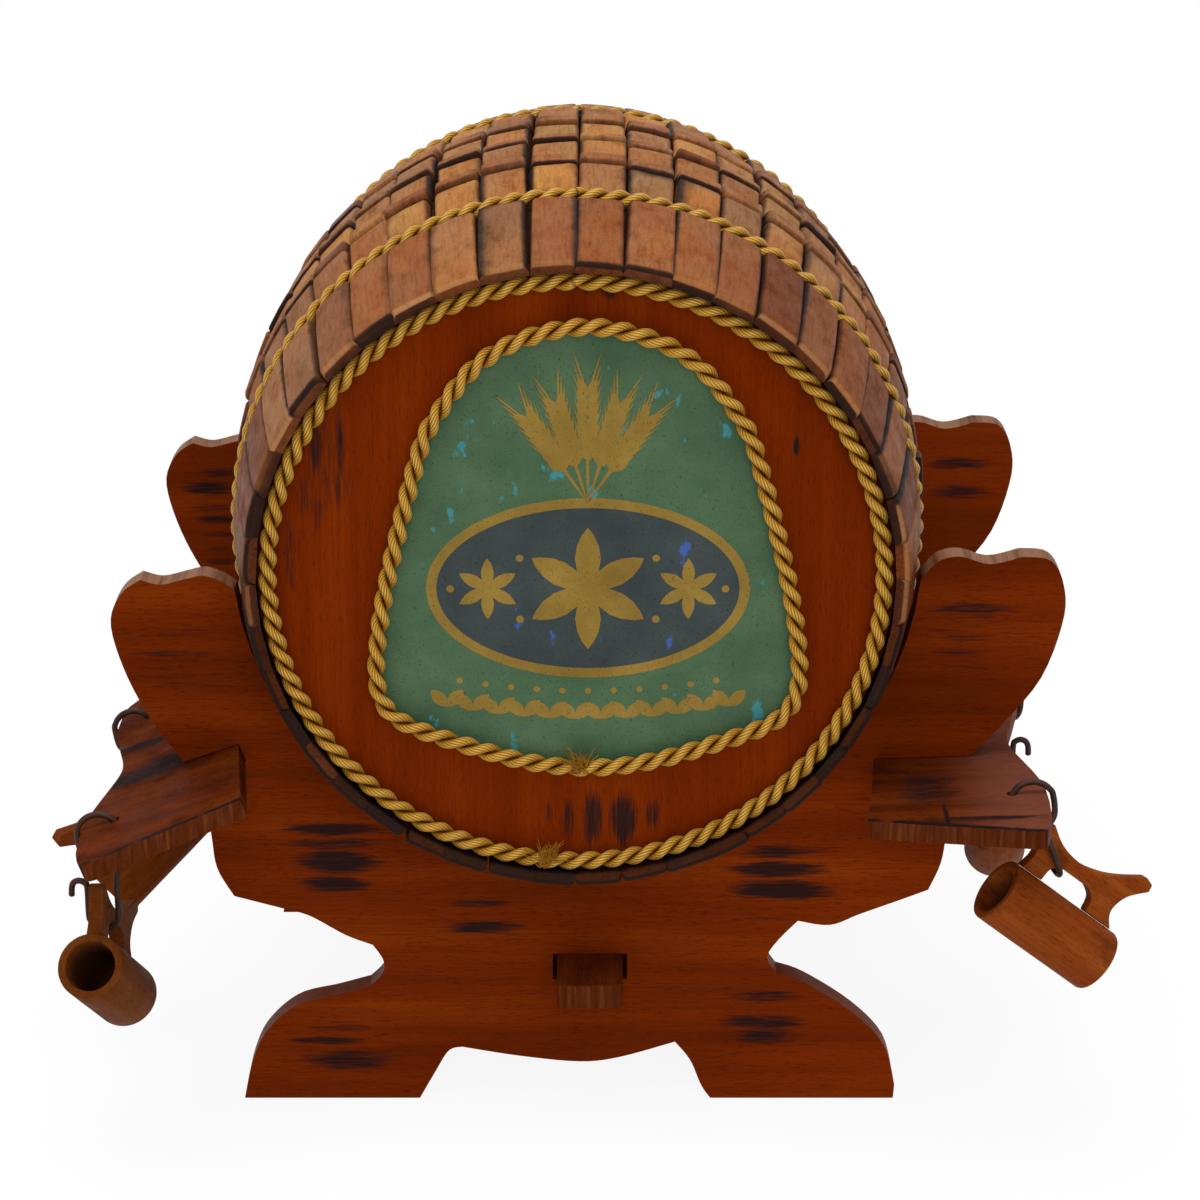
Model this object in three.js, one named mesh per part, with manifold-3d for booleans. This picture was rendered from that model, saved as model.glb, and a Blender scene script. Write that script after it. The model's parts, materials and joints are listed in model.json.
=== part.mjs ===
// Decorative wooden barrel on a cradle stand, with four little mugs hung on wire hooks.
// Millimetres, +Z up. The barrel's axis runs along Y and its front head faces -Y.
import * as THREE from 'three';
import { mergeVertices } from 'three/addons/utils/BufferGeometryUtils.js';
import Module from 'manifold-3d';

const wasm = await Module();
wasm.setup();

// Gap left between pieces that touch
const GAP = 0.3;

// Barrel: a parabola turned about the axis
const AXIS_Z = 194.7;
const BELLY_R = 113.4;
const END_R = 102;
const HALF_LENGTH = 111.7;
const FRONT_END_Y = -30;
const MIDDLE_Y = FRONT_END_Y + HALF_LENGTH;
const REAR_END_Y = MIDDLE_Y + HALF_LENGTH;
const TILE_COUNT = 44;
const TILE_T = 4;
const GROOVE_W = 1.8;
const GROOVE_D = 2.6;
const DRUM_T = 5;
const DRUM_GAP = 1;

// Cords
const CORD_R = 2.9;
const HOOP_LIFT = 0.9;
const FRONT_HOOP_BEHIND = 15.4;
const REAR_HOOP_BEHIND = 6.8;
const CORD_STEPS = 50;

// Heads and the label on the front one
const HEAD_T = 6;
const HEAD_RECESS = 7.5;
const HEAD_FIT = 0.5;
const LABEL_X = 3.6;
const LABEL_TOP_BORDER = 14.2;
const LABEL_SIDE_BORDER = 29.5;
const LABEL_FOOT_BORDER = 32.6;
const LABEL_T = 0.4;

// Stand
const BOARD_T = 8.6;
const BOARD_PITCH = 141.6;
const CRADLE_GAP = 0.5;
const CRADLE_STEPS = 30;
const TENON_X = 4;
const TENON_W = 21.4;
const TENON_T = 8.4;
const TENON_BOTTOM_Z = 45;
const TENON_OUT = 22;
const TENON_SIDE_GAP = 1.5;
const TENON_TOP_GAP = 0.5;
const STRETCHER_W = 36;
const STRETCHER_T = 13;
const RIM_BELOW_AXIS = { left: 12.7, right: 9.2 };
const FOOT = { left: { inner: 53.1, outer: 111.9 }, right: { inner: 44.3, outer: 105.7 } };

// Hanger planks
const PLANK_T = 6;
const PLANK_BACK = 6;
const FRONT_HOOK_Y = -30;
const REAR_HOOK_Y = 55;
const PLANKS = {
  left: { side: -1, belowAxis: 66, setback: 22.4, tilt: 19.3, edge: 49.5 },
  right: { side: 1, belowAxis: 71.1, setback: 13.4, tilt: 2, edge: 51.5 },
};

// Hooks, bent from iron wire
const WIRE_R = 1;
const LOOP_R = 6.8;
const LOOP_IN = 4.5;
const HOLE_PLAY = 0.8;
const BEND_R = 4.8;
const CURL_R = 2.5;
const SHANK = 9.2;

// Mugs: a turned cup with a sawn handle
const CUP_R = 10.5;
const BORE_R = 7.9;
const CUP_L = 43;
const CUP_FLOOR = 7;
const HANDLE_T = 5;
const HANG_ALONG = 6.8;
const HANG_OUT = 15.4;
// Each hook was bent by hand to its own length and has turned in its hole. A mug's bend and mouth are
// headings from +X; lean is how far its hook swings out and roll how far the mug tips along the bend.
const MUGS = [
  {
    name: 'front_left', plank: 'left', y: FRONT_HOOK_Y,
    drop: 33, lean: 0, bend: 174, mouth: 264, roll: 4,
  },
  {
    name: 'front_right', plank: 'right', y: FRONT_HOOK_Y,
    drop: 26.5, lean: 20, bend: 104, mouth: 194, roll: 10.5,
  },
  {
    name: 'rear_left', plank: 'left', y: REAR_HOOK_Y,
    drop: 28, lean: 0, bend: 298, mouth: 28, roll: 0,
  },
  {
    name: 'rear_right', plank: 'right', y: REAR_HOOK_Y,
    drop: 31, lean: 0, bend: 352, mouth: 262, roll: 0,
  },
];

const STAINED = 0x8a3f16;
const HEAD_STAIN = 0x97440f;
const TILE = 0x9a6238;
const GOLD_CORD = 0xc8962c;
const IRON = 0x3a2a22;
const LABEL_GREEN = 0x3f6b52;
const MUG_WOOD = 0x9c5626;
const RAW_WOOD = 0xb28a5c;

const rad = THREE.MathUtils.degToRad;
const group = new THREE.Group();
group.name = 'decorative_barrel';

function add(name, geometry, color, roughness = 0.6, metalness = 0) {
  const material = new THREE.MeshStandardMaterial({ color, roughness, metalness });
  material.name = name;
  const mesh = new THREE.Mesh(geometry, material);
  mesh.name = name;
  group.add(mesh);
  return mesh;
}

function toSolid(geometry) {
  const bare = geometry.clone();
  bare.deleteAttribute('normal');
  bare.deleteAttribute('uv');
  const merged = mergeVertices(bare, 1e-4);
  const vertProperties = Float32Array.from(merged.attributes.position.array);
  const triVerts = Uint32Array.from(merged.index.array);
  return new wasm.Manifold(new wasm.Mesh({ numProp: 3, vertProperties, triVerts }));
}

function toGeometry(solid) {
  const mesh = solid.getMesh();
  const geometry = new THREE.BufferGeometry();
  geometry.setAttribute('position', new THREE.BufferAttribute(Float32Array.from(mesh.vertProperties), 3));
  geometry.setIndex(Array.from(mesh.triVerts));
  geometry.computeVertexNormals();
  return geometry;
}

function cutAway(geometry, cutters) {
  let solid = toSolid(geometry);
  for (const cutter of cutters) {
    solid = solid.subtract(toSolid(cutter));
  }
  return toGeometry(solid);
}

// A shape drawn in X and Z, standing upright, from y to y + thickness
function upright(shape, y, thickness, curveSegments = 12) {
  const geometry = new THREE.ExtrudeGeometry(shape, { depth: thickness, bevelEnabled: false, curveSegments });
  geometry.rotateX(Math.PI / 2);
  geometry.translate(0, y + thickness, 0);
  return geometry;
}

// A round rod swept along a curve, closed at both ends
function rod(curve, radius, steps, sides = 6) {
  const section = new THREE.Shape();
  section.absarc(0, 0, radius, 0, 2 * Math.PI, false);
  const options = { steps, extrudePath: curve, bevelEnabled: false, curveSegments: sides / 2 };
  return new THREE.ExtrudeGeometry(section, options);
}

function barrelRadius(y) {
  const along = (y - MIDDLE_Y) / HALF_LENGTH;
  return BELLY_R - (BELLY_R - END_R) * along * along;
}

// One course of flat tiles round the barrel, parted by V grooves on a thin backing
function tileCourse(y0, y1, grooved) {
  const pitch = (2 * Math.PI) / TILE_COUNT;
  const positions = [];
  const index = [];
  const loops = [y0, y1].map((y) => {
    const outer = barrelRadius(y);
    const half = pitch / 2 - (grooved ? GROOVE_W / 2 / outer : 0);
    const loop = [];
    for (let k = 0; k < TILE_COUNT; k += 1) {
      const middle = k * pitch;
      const seam = middle - pitch / 2;
      loop.push([outer - TILE_T, seam]);
      loop.push([grooved ? outer - GROOVE_D : outer, seam]);
      if (grooved) {
        loop.push([outer, middle - half]);
        loop.push([outer, middle + half]);
      }
    }
    return loop;
  });
  const perTile = grooved ? 4 : 2;
  const perLoop = perTile * TILE_COUNT;
  loops.forEach((loop, i) => {
    for (const [r, angle] of loop) {
      positions.push(r * Math.sin(angle), i === 0 ? y0 : y1, AXIS_Z + r * Math.cos(angle));
    }
  });
  const quad = (a, b, c, d) => index.push(a, b, c, a, c, d);
  for (let k = 0; k < TILE_COUNT; k += 1) {
    const here = k * perTile;
    const next = ((k + 1) % TILE_COUNT) * perTile;
    // Inner wall
    quad(here, here + perLoop, next + perLoop, next);
    // Outer walls, from this tile's seam to the next one
    const rim = [here + 1];
    if (grooved) {
      rim.push(here + 2, here + 3);
    }
    rim.push(next + 1);
    for (let i = 0; i + 1 < rim.length; i += 1) {
      quad(rim[i], rim[i + 1], rim[i + 1] + perLoop, rim[i] + perLoop);
    }
    // End faces
    if (grooved) {
      const [a, b, c, d] = rim;
      quad(here, next, d, a);
      quad(a, d, c, b);
      quad(a + perLoop, d + perLoop, next + perLoop, here + perLoop);
      quad(b + perLoop, c + perLoop, d + perLoop, a + perLoop);
    } else {
      const [a, b] = rim;
      quad(here, next, b, a);
      quad(a + perLoop, b + perLoop, next + perLoop, here + perLoop);
    }
  }
  const geometry = new THREE.BufferGeometry();
  geometry.setAttribute('position', new THREE.BufferAttribute(new Float32Array(positions), 3));
  geometry.setIndex(index);
  geometry.computeVertexNormals();
  return geometry;
}

// Drum, tile courses and hoop cords
const frontHoopY = BOARD_T + FRONT_HOOP_BEHIND;
const rearHoopY = BOARD_PITCH + BOARD_T + REAR_HOOP_BEHIND;
const frontRingEnd = frontHoopY - CORD_R - GAP;
const bellyStart = frontHoopY + CORD_R + GAP;
const bellyEnd = rearHoopY - CORD_R - GAP;
const rearRingStart = rearHoopY + CORD_R + GAP;
const COURSE_SHARES = [0.204, 0.071, 0.158, 0.055, 0.174, 0.103, 0.235];
const NARROW_SHARE = 0.14;

const seams = [bellyStart];
for (const share of COURSE_SHARES) {
  seams.push(seams[seams.length - 1] + share * (bellyEnd - bellyStart));
}
add('front_tile_ring', tileCourse(FRONT_END_Y, frontRingEnd, true), TILE);
for (let i = 0; i + 1 < seams.length; i += 1) {
  const wide = COURSE_SHARES[i] > NARROW_SHARE;
  const course = tileCourse(seams[i] + GAP / 2, seams[i + 1] - GAP / 2, wide);
  add(`belly_tile_course_${i + 1}`, course, TILE);
}
add('rear_tile_ring', tileCourse(rearRingStart, REAR_END_Y, true), TILE);

function drumRadius(y) {
  return barrelRadius(y) - TILE_T - DRUM_GAP;
}

function drum() {
  const start = FRONT_END_Y + HEAD_RECESS + HEAD_T + GAP;
  const end = REAR_END_Y - HEAD_RECESS - HEAD_T - GAP;
  const stations = [0, 0.2, 0.4, 0.6, 0.8, 1].map((share) => start + share * (end - start));
  const profile = stations.map((y) => new THREE.Vector2(drumRadius(y), y));
  for (const y of [end, MIDDLE_Y, start]) {
    profile.push(new THREE.Vector2(drumRadius(y) - DRUM_T, y));
  }
  profile.push(profile[0].clone());
  // The lathe turns about Y, which is the barrel's axis
  const turned = new THREE.LatheGeometry(profile, TILE_COUNT, Math.PI / TILE_COUNT);
  return turned.translate(0, 0, AXIS_Z);
}
add('barrel_drum', drum(), RAW_WOOD);

// A cord laid round the axis, its two ends meeting at the bottom
class HoopCurve extends THREE.Curve {
  constructor(radius, y) {
    super();
    this.radius = radius;
    this.y = y;
  }

  getPoint(t, target = new THREE.Vector3()) {
    const meeting = GAP / 2 / this.radius;
    const angle = -Math.PI / 2 + meeting + t * (2 * Math.PI - 2 * meeting);
    return target.set(this.radius * Math.cos(angle), this.y, AXIS_Z + this.radius * Math.sin(angle));
  }
}
const headCordY = FRONT_END_Y + HEAD_RECESS - CORD_R - GAP;
const rearCordY = 2 * MIDDLE_Y - headCordY;
// The radius that clears the flat inner walls of the end tiles
const insideTiles = (y) => (barrelRadius(y) - TILE_T) * Math.cos(Math.PI / TILE_COUNT);
const headCordR = insideTiles(headCordY) - CORD_R - GAP;
const hoop = (radius, y) => rod(new HoopCurve(radius, y), CORD_R, CORD_STEPS);
const hoopRadius = (y) => drumRadius(y) + HOOP_LIFT + CORD_R;
add('front_hoop_cord', hoop(hoopRadius(frontHoopY), frontHoopY), GOLD_CORD);
add('rear_hoop_cord', hoop(hoopRadius(rearHoopY), rearHoopY), GOLD_CORD);
add('front_head_cord', hoop(headCordR, headCordY), GOLD_CORD);
add('rear_head_cord', hoop(headCordR, rearCordY), GOLD_CORD);

// Label: round-cornered, three-sided, even about its own middle line
const labelTop = AXIS_Z + headCordR - LABEL_TOP_BORDER;
const labelFoot = AXIS_Z - headCordR + LABEL_FOOT_BORDER;
const labelHalf = headCordR - LABEL_SIDE_BORDER;
// One half of its outline, from foot to top, in shares of the half width and of the height
const LABEL_SHARES = [
  [0, 0],
  [0.29, 0.014],
  [0.59, 0.054],
  [0.87, 0.104],
  [0.98, 0.16],
  [1, 0.254],
  [0.94, 0.437],
  [0.79, 0.707],
  [0.71, 0.795],
  [0.52, 0.911],
  [0.29, 0.974],
  [0, 1],
];

function labelPoints() {
  const tall = labelTop - labelFoot;
  const point = (u, v) => new THREE.Vector3(LABEL_X + u * labelHalf, 0, labelFoot + v * tall);
  const right = LABEL_SHARES.map(([u, v]) => point(u, v));
  const left = LABEL_SHARES.slice(1, -1).reverse().map(([u, v]) => point(-u, v));
  return right.concat(left);
}

function labelShape(steps) {
  const curve = new THREE.CatmullRomCurve3(labelPoints(), true, 'centripetal');
  const flat = curve.getSpacedPoints(steps).slice(0, -1).map((p) => new THREE.Vector2(p.x, p.z));
  return new THREE.Shape(flat);
}

class LabelCordCurve extends THREE.Curve {
  constructor(y) {
    super();
    this.round = new THREE.CatmullRomCurve3(labelPoints(), true, 'centripetal');
    this.y = y;
  }

  getPoint(t, target = new THREE.Vector3()) {
    const meeting = GAP / 2 / this.round.getLength();
    this.round.getPointAt(meeting + t * (1 - 2 * meeting), target);
    target.y = this.y;
    return target;
  }
}

function head(y) {
  const disc = new THREE.Shape();
  disc.absarc(0, AXIS_Z, insideTiles(frontHeadY) - HEAD_FIT, 0, 2 * Math.PI, false);
  return upright(disc, y, HEAD_T, 24);
}
const frontHeadY = FRONT_END_Y + HEAD_RECESS;
const rearHeadY = REAR_END_Y - HEAD_RECESS - HEAD_T;
// The label lies on the head's face, and a cord glued along its border covers the cut edge
const labelY = frontHeadY - GAP - LABEL_T;
const labelCordY = labelY - GAP - CORD_R;
add('front_head', head(frontHeadY), HEAD_STAIN, 0.45);
add('rear_head', head(rearHeadY), HEAD_STAIN, 0.45);
add('label_panel', upright(labelShape(56), labelY, LABEL_T), LABEL_GREEN, 0.35, 0.4);
add('label_cord', rod(new LabelCordCurve(labelCordY), CORD_R, 64), GOLD_CORD);

function points(list) {
  return list.map(([x, z]) => new THREE.Vector2(x, z));
}

// Each cradle fits the barrel's widest place within the board's thickness
const frontCradleR = barrelRadius(BOARD_T) + CRADLE_GAP;
const rearCradleR = barrelRadius(BOARD_PITCH) + CRADLE_GAP;

// Half the front cradle's width at a height below the barrel's axis
function cradleHalf(below) {
  return Math.sqrt(frontCradleR * frontCradleR - below * below);
}

// Cradle board outline, hand-sawn: the right wing stands a little taller than the left.
// A wing is drawn out and up from the cradle's rim, a side below it out from the rim and up from the floor.
function boardShape(cradleR) {
  const rim = { left: cradleHalf(RIM_BELOW_AXIS.left), right: cradleHalf(RIM_BELOW_AXIS.right) };
  const leftRimZ = AXIS_Z - RIM_BELOW_AXIS.left;
  const rightRimZ = AXIS_Z - RIM_BELOW_AXIS.right;
  const leftAngle = Math.asin(RIM_BELOW_AXIS.left / cradleR);
  const rightAngle = Math.asin(RIM_BELOW_AXIS.right / cradleR);
  const outline = new THREE.Shape();
  for (let i = 0; i <= CRADLE_STEPS; i += 1) {
    const angle = Math.PI + leftAngle + ((Math.PI - leftAngle - rightAngle) * i) / CRADLE_STEPS;
    const x = cradleR * Math.cos(angle);
    const z = AXIS_Z + cradleR * Math.sin(angle);
    if (i === 0) {
      outline.moveTo(x, z);
    } else {
      outline.lineTo(x, z);
    }
  }
  const rightWing = (list) => points(list.map(([out, up]) => [rim.right + out, rightRimZ + up]));
  const leftWing = (list) => points(list.map(([out, up]) => [-rim.left - out, leftRimZ + up]));
  const rightSide = (list) => points(list.map(([out, z]) => [rim.right + out, z]));
  const leftSide = (list) => points(list.map(([out, z]) => [-rim.left - out, z]));
  // Right wing, and down past the plank
  outline.splineThru(rightWing([[5.4, 6.1], [12.4, 7.7], [21.7, 5.2], [31.7, 7.6]]));
  outline.splineThru(rightWing([[40.6, 6.5], [45.1, -1], [45.8, -13.5], [39.3, -34.2], [25.7, -52.2]]));
  outline.splineThru([...rightWing([[13.4, -67.5]]), ...rightSide([[11.6, 100], [10.1, 87.3], [6.2, 77.2]])]);
  // Right waist
  outline.splineThru([...rightSide([[-2.9, 73.5], [-15.9, 68.4]]), ...points([[83, 64.4], [72.4, 65.9]])]);
  outline.splineThru(points([[66, 58.8], [62.6, 52.6], [65.6, 46.8]]));
  // Right foot
  const right = FOOT.right;
  const shin = points([[right.outer - 14.7, 32.3], [right.outer - 3.7, 20], [right.outer + 0.3, 5]]);
  outline.splineThru([...points([[75, 43.2]]), ...shin]);
  outline.lineTo(right.outer, 0);
  outline.lineTo(right.inner, 0);
  outline.splineThru(points([[right.inner - 3.1, 4.9], [right.inner - 6.9, 14.4], [right.inner - 12, 21.2]]));
  // Belly of the board between the feet
  const left = FOOT.left;
  outline.splineThru(points([[14, 15.5], [0.6, 13.8], [-19.4, 15.9], [14.4 - left.inner, 19.3]]));
  outline.splineThru(points([[9.9 - left.inner, 17.8], [5.1 - left.inner, 9.5], [-left.inner, 0]]));
  // Left foot
  outline.lineTo(-left.outer, 0);
  const instep = points([[18.9 - left.outer, 35], [-79.6, 38.7], [-69, 41.8]]);
  outline.splineThru([...points([[3.2 - left.outer, 14.4], [8.5 - left.outer, 25.6]]), ...instep]);
  outline.splineThru(points([[-64.6, 46.6], [-64.3, 51.6], [-67.6, 57.1]]));
  // Left waist
  outline.splineThru([...points([[-76.6, 60.8], [-88, 67.7]]), ...leftSide([[-10.9, 70.6], [4.3, 74.9]])]);
  // Left side past the plank, and the left wing
  outline.splineThru([...leftSide([[9.5, 85.1], [10.9, 97]]), ...leftWing([[12.7, -72], [19.8, -57.5]])]);
  outline.splineThru(leftWing([[28.8, -43.9], [36, -28], [39.8, -11.5], [36, -1.4], [29.7, 3.4]]));
  outline.splineThru(leftWing([[23.4, 1.8], [15.7, 3.6], [9.7, 4.8], [3.7, 2.8]]));
  outline.closePath();
  return outline;
}

// A plank's own frame: X along its slope, Y along the barrel, Z out of its top face
function plankMatrix(plank) {
  const tilt = rad(plank.tilt);
  const along = new THREE.Vector3(Math.cos(tilt), 0, Math.sin(tilt));
  const normal = new THREE.Vector3(-Math.sin(tilt), 0, Math.cos(tilt));
  const matrix = new THREE.Matrix4().makeBasis(along, new THREE.Vector3(0, 1, 0), normal);
  const z = AXIS_Z - plank.belowAxis;
  return matrix.setPosition(plank.side * (cradleHalf(plank.belowAxis) + plank.setback), 0, z);
}

// A lobe for each hook, with a shallow waist between them and an inner edge behind the board
function plankShape({ side, edge }) {
  const at = (out, y) => new THREE.Vector2(side * out, y);
  const front = (inset, y) => at(edge - inset, FRONT_HOOK_Y + y);
  const rear = (inset, y) => at(edge - inset, REAR_HOOK_Y + y);
  const outline = new THREE.Shape();
  const straight = (to) => outline.lineTo(to.x, to.y);
  outline.moveTo(side * -PLANK_BACK, FRONT_HOOK_Y - 17.5);
  straight(front(6.5, -29.2));
  outline.splineThru([front(3.1, -27.5), front(0.7, -18)]);
  straight(front(0, -7));
  straight(front(0, 6));
  outline.splineThru([front(2.5, 18), front(6.9, 36), rear(7.1, -39), rear(4, -25), rear(0, -7)]);
  straight(rear(0, 7));
  outline.splineThru([rear(1.1, 15), rear(5.5, 21)]);
  outline.lineTo(side * -PLANK_BACK, REAR_HOOK_Y + 9);
  outline.lineTo(0, BOARD_T);
  outline.lineTo(0, 0);
  outline.closePath();
  for (const y of [FRONT_HOOK_Y, REAR_HOOK_Y]) {
    const hole = new THREE.Path();
    const inset = LOOP_IN + LOOP_R - GAP;
    hole.absarc(side * (edge - inset), y, WIRE_R + HOLE_PLAY, 0, 2 * Math.PI, side > 0);
    outline.holes.push(hole);
  }
  return outline;
}

function plankSlot(plank) {
  const length = 2 * plank.edge;
  const slot = new THREE.BoxGeometry(length, 4 * BOARD_T, PLANK_T + 2 * GAP);
  slot.translate(plank.side * (length / 2 - GAP), BOARD_T / 2, -PLANK_T / 2);
  return slot.applyMatrix4(plankMatrix(plank));
}

function mortise() {
  const wide = TENON_W + 2 * TENON_SIDE_GAP;
  const hole = new THREE.BoxGeometry(wide, 4 * BOARD_T, TENON_T + 2 * TENON_TOP_GAP);
  return hole.translate(TENON_X, BOARD_T / 2, TENON_BOTTOM_Z + TENON_T / 2);
}

const frontBlank = upright(boardShape(frontCradleR), 0, BOARD_T, 4);
const rearBlank = upright(boardShape(rearCradleR), 0, BOARD_T, 4);
const slots = [plankSlot(PLANKS.left), plankSlot(PLANKS.right)];
const frontBoard = cutAway(frontBlank, [mortise(), ...slots]);
const rearBoard = cutAway(rearBlank, [mortise()]).translate(0, BOARD_PITCH, 0);
add('front_cradle_board', frontBoard, STAINED, 0.5);
add('rear_cradle_board', rearBoard, STAINED, 0.5);

for (const [side, plank] of Object.entries(PLANKS)) {
  const options = { depth: PLANK_T, bevelEnabled: false, curveSegments: 4 };
  const geometry = new THREE.ExtrudeGeometry(plankShape(plank), options);
  geometry.translate(0, 0, -PLANK_T);
  geometry.applyMatrix4(plankMatrix(plank));
  add(`${side}_hanger_plank`, geometry, STAINED, 0.5);
}

// Stretcher: a bar whose thinner ends pass through the boards as tenons
function stretcher() {
  const half = TENON_W / 2;
  const tip = -TENON_OUT;
  const farTip = BOARD_PITCH + BOARD_T + TENON_OUT;
  const corner = 3;
  const plan = new THREE.Shape();
  plan.moveTo(-half, tip + corner);
  plan.quadraticCurveTo(-half, tip, -half + corner, tip);
  plan.lineTo(half - corner, tip);
  plan.quadraticCurveTo(half, tip, half, tip + corner);
  plan.lineTo(half, farTip - corner);
  plan.quadraticCurveTo(half, farTip, half - corner, farTip);
  plan.lineTo(-half + corner, farTip);
  plan.quadraticCurveTo(-half, farTip, -half, farTip - corner);
  plan.closePath();
  const options = { depth: TENON_T, bevelEnabled: false, curveSegments: 4 };
  const tenons = new THREE.ExtrudeGeometry(plan, options).translate(TENON_X, 0, TENON_BOTTOM_Z);
  const back = BOARD_T + GAP;
  const far = BOARD_PITCH - GAP;
  const body = new THREE.BoxGeometry(STRETCHER_W, far - back, STRETCHER_T);
  body.translate(TENON_X, (back + far) / 2, TENON_BOTTOM_Z + TENON_T / 2);
  return toGeometry(toSolid(tenons).add(toSolid(body)));
}
add('stretcher', stretcher(), STAINED, 0.5);

// Hook: the loop through the plank is an arc about the swing axis, so it slides in its hole
function loopCentre(mug) {
  const plank = PLANKS[mug.plank];
  const local = new THREE.Vector3(plank.side * (plank.edge - LOOP_IN), mug.y, -PLANK_T / 2);
  return local.applyMatrix4(plankMatrix(plank));
}

// Turns a hook, and the place its mug hangs from, out about the middle of its loop
function leanOut(mug) {
  const centre = loopCentre(mug);
  const turn = new THREE.Matrix4().makeRotationY(-PLANKS[mug.plank].side * rad(mug.lean));
  const back = new THREE.Matrix4().makeTranslation(-centre.x, -centre.y, -centre.z);
  return new THREE.Matrix4().makeTranslation(centre.x, centre.y, centre.z).multiply(turn).multiply(back);
}

function hook(mug) {
  const centre = loopCentre(mug);
  const outward = new THREE.Vector3(PLANKS[mug.plank].side, 0, 0);
  const across = new THREE.Vector3(Math.cos(rad(mug.bend)), Math.sin(rad(mug.bend)), 0);
  const path = [];
  const upper = (o, z) => path.push(centre.clone().addScaledVector(outward, o).setZ(centre.z + z));
  const lower = (o, z) => path.push(centre.clone().addScaledVector(across, o).setZ(centre.z + z));
  for (let angle = 212; angle >= 0; angle -= 21.2) {
    upper(LOOP_R * Math.cos(rad(angle)), LOOP_R * Math.sin(rad(angle)));
  }
  // From the loop the shank comes back under it to one side, and goes down to the lower bend
  const neckZ = -LOOP_R - 2.4;
  upper(LOOP_R - 1.6, 0.2 - LOOP_R);
  lower(0.7 - BEND_R, neckZ);
  const bendZ = -mug.drop + BEND_R;
  lower(-BEND_R, bendZ + SHANK);
  for (let angle = 180; angle <= 360; angle += 30) {
    lower(BEND_R * Math.cos(rad(angle)), bendZ + BEND_R * Math.sin(rad(angle)));
  }
  const curlZ = bendZ + SHANK;
  for (let angle = 180; angle >= 0; angle -= 45) {
    lower(BEND_R + CURL_R + CURL_R * Math.cos(rad(angle)), curlZ + CURL_R * Math.sin(rad(angle)));
  }
  lower(BEND_R + 2 * CURL_R + 0.2, curlZ - 3);
  const leaning = leanOut(mug);
  path.forEach((point) => point.applyMatrix4(leaning));
  return rod(new THREE.CatmullRomCurve3(path, false, 'centripetal'), WIRE_R, 50);
}

// Mug in its own frame: X along the cup to its mouth, Y out to the handle, Z across
function cup() {
  const half = CUP_L / 2;
  const profile = points([
    [0, -half],
    [CUP_R - 0.8, -half],
    [CUP_R, -half + 0.8],
    [CUP_R, half],
    [BORE_R, half],
    [BORE_R, -half + CUP_FLOOR],
    [0, -half + CUP_FLOOR],
  ]);
  return new THREE.LatheGeometry(profile, 28).rotateZ(-Math.PI / 2);
}

// Sawn handle: a bracket along the cup, with a long spur by its foot and a short one by its mouth
function handle() {
  const seat = CUP_R + 0.1;
  const foot = -CUP_L / 2;
  const mouth = CUP_L / 2;
  // The wire climbs away from its lowest point within the handle's thickness
  const climb = Math.asin(HANDLE_T / 2 / BEND_R);
  const top = HANG_OUT + BEND_R * (1 - Math.cos(climb)) + WIRE_R / Math.cos(climb) + GAP;
  const byFoot = (list) => points(list.map(([along, out]) => [foot + along, CUP_R + out]));
  const byMouth = (list) => points(list.map(([along, out]) => [mouth - along, CUP_R + out]));
  const window = (list) => points(list.map(([along, out]) => [HANG_ALONG + along, out]));
  const outline = new THREE.Shape();
  outline.moveTo(foot + 3.5, seat);
  outline.splineThru(byFoot([[6.9, 5], [5.3, 11.5], [-0.1, 17.1]]));
  outline.lineTo(foot + 0.3, CUP_R + 19.5);
  outline.lineTo(foot + 3.3, CUP_R + 20.5);
  const shortSpur = byMouth([[17.8, 11.7], [9.5, 13.1], [2.9, 16.9]]);
  outline.splineThru([...byFoot([[10.5, 16.1], [16.9, 13.3]]), ...shortSpur]);
  outline.lineTo(mouth - 0.5, CUP_R + 15.1);
  outline.splineThru([...byMouth([[1.9, 10], [3.1, 5]]), new THREE.Vector2(mouth - 2, seat)]);
  outline.lineTo(HANG_ALONG + 4.7, seat);
  outline.splineThru(window([[4.2, top - 2.65], [1.6, top]]));
  outline.lineTo(HANG_ALONG - 9.8, top);
  outline.splineThru(window([[-13.2, top - 2.45], [-14.3, seat]]));
  outline.closePath();
  const options = { depth: HANDLE_T, bevelEnabled: false, curveSegments: 2 };
  return new THREE.ExtrudeGeometry(outline, options).translate(0, 0, -HANDLE_T / 2);
}

// Volume and centre of a closed geometry, for finding how the mug hangs
function balance(geometries) {
  let volume = 0;
  const centre = new THREE.Vector3();
  const a = new THREE.Vector3();
  const b = new THREE.Vector3();
  const c = new THREE.Vector3();
  for (const geometry of geometries) {
    const flat = geometry.index ? geometry.toNonIndexed() : geometry;
    const position = flat.attributes.position;
    for (let i = 0; i < position.count; i += 3) {
      a.fromBufferAttribute(position, i);
      b.fromBufferAttribute(position, i + 1);
      c.fromBufferAttribute(position, i + 2);
      const part = a.dot(b.clone().cross(c)) / 6;
      volume += part;
      centre.addScaledVector(a.clone().add(b).add(c), part / 4);
    }
  }
  return centre.divideScalar(volume);
}

// The mug hangs with its centre of mass straight under the wire
const weightAt = balance([cup(), handle()]);
const hangAngle = Math.atan2(HANG_ALONG - weightAt.x, HANG_OUT - weightAt.y);

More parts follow.
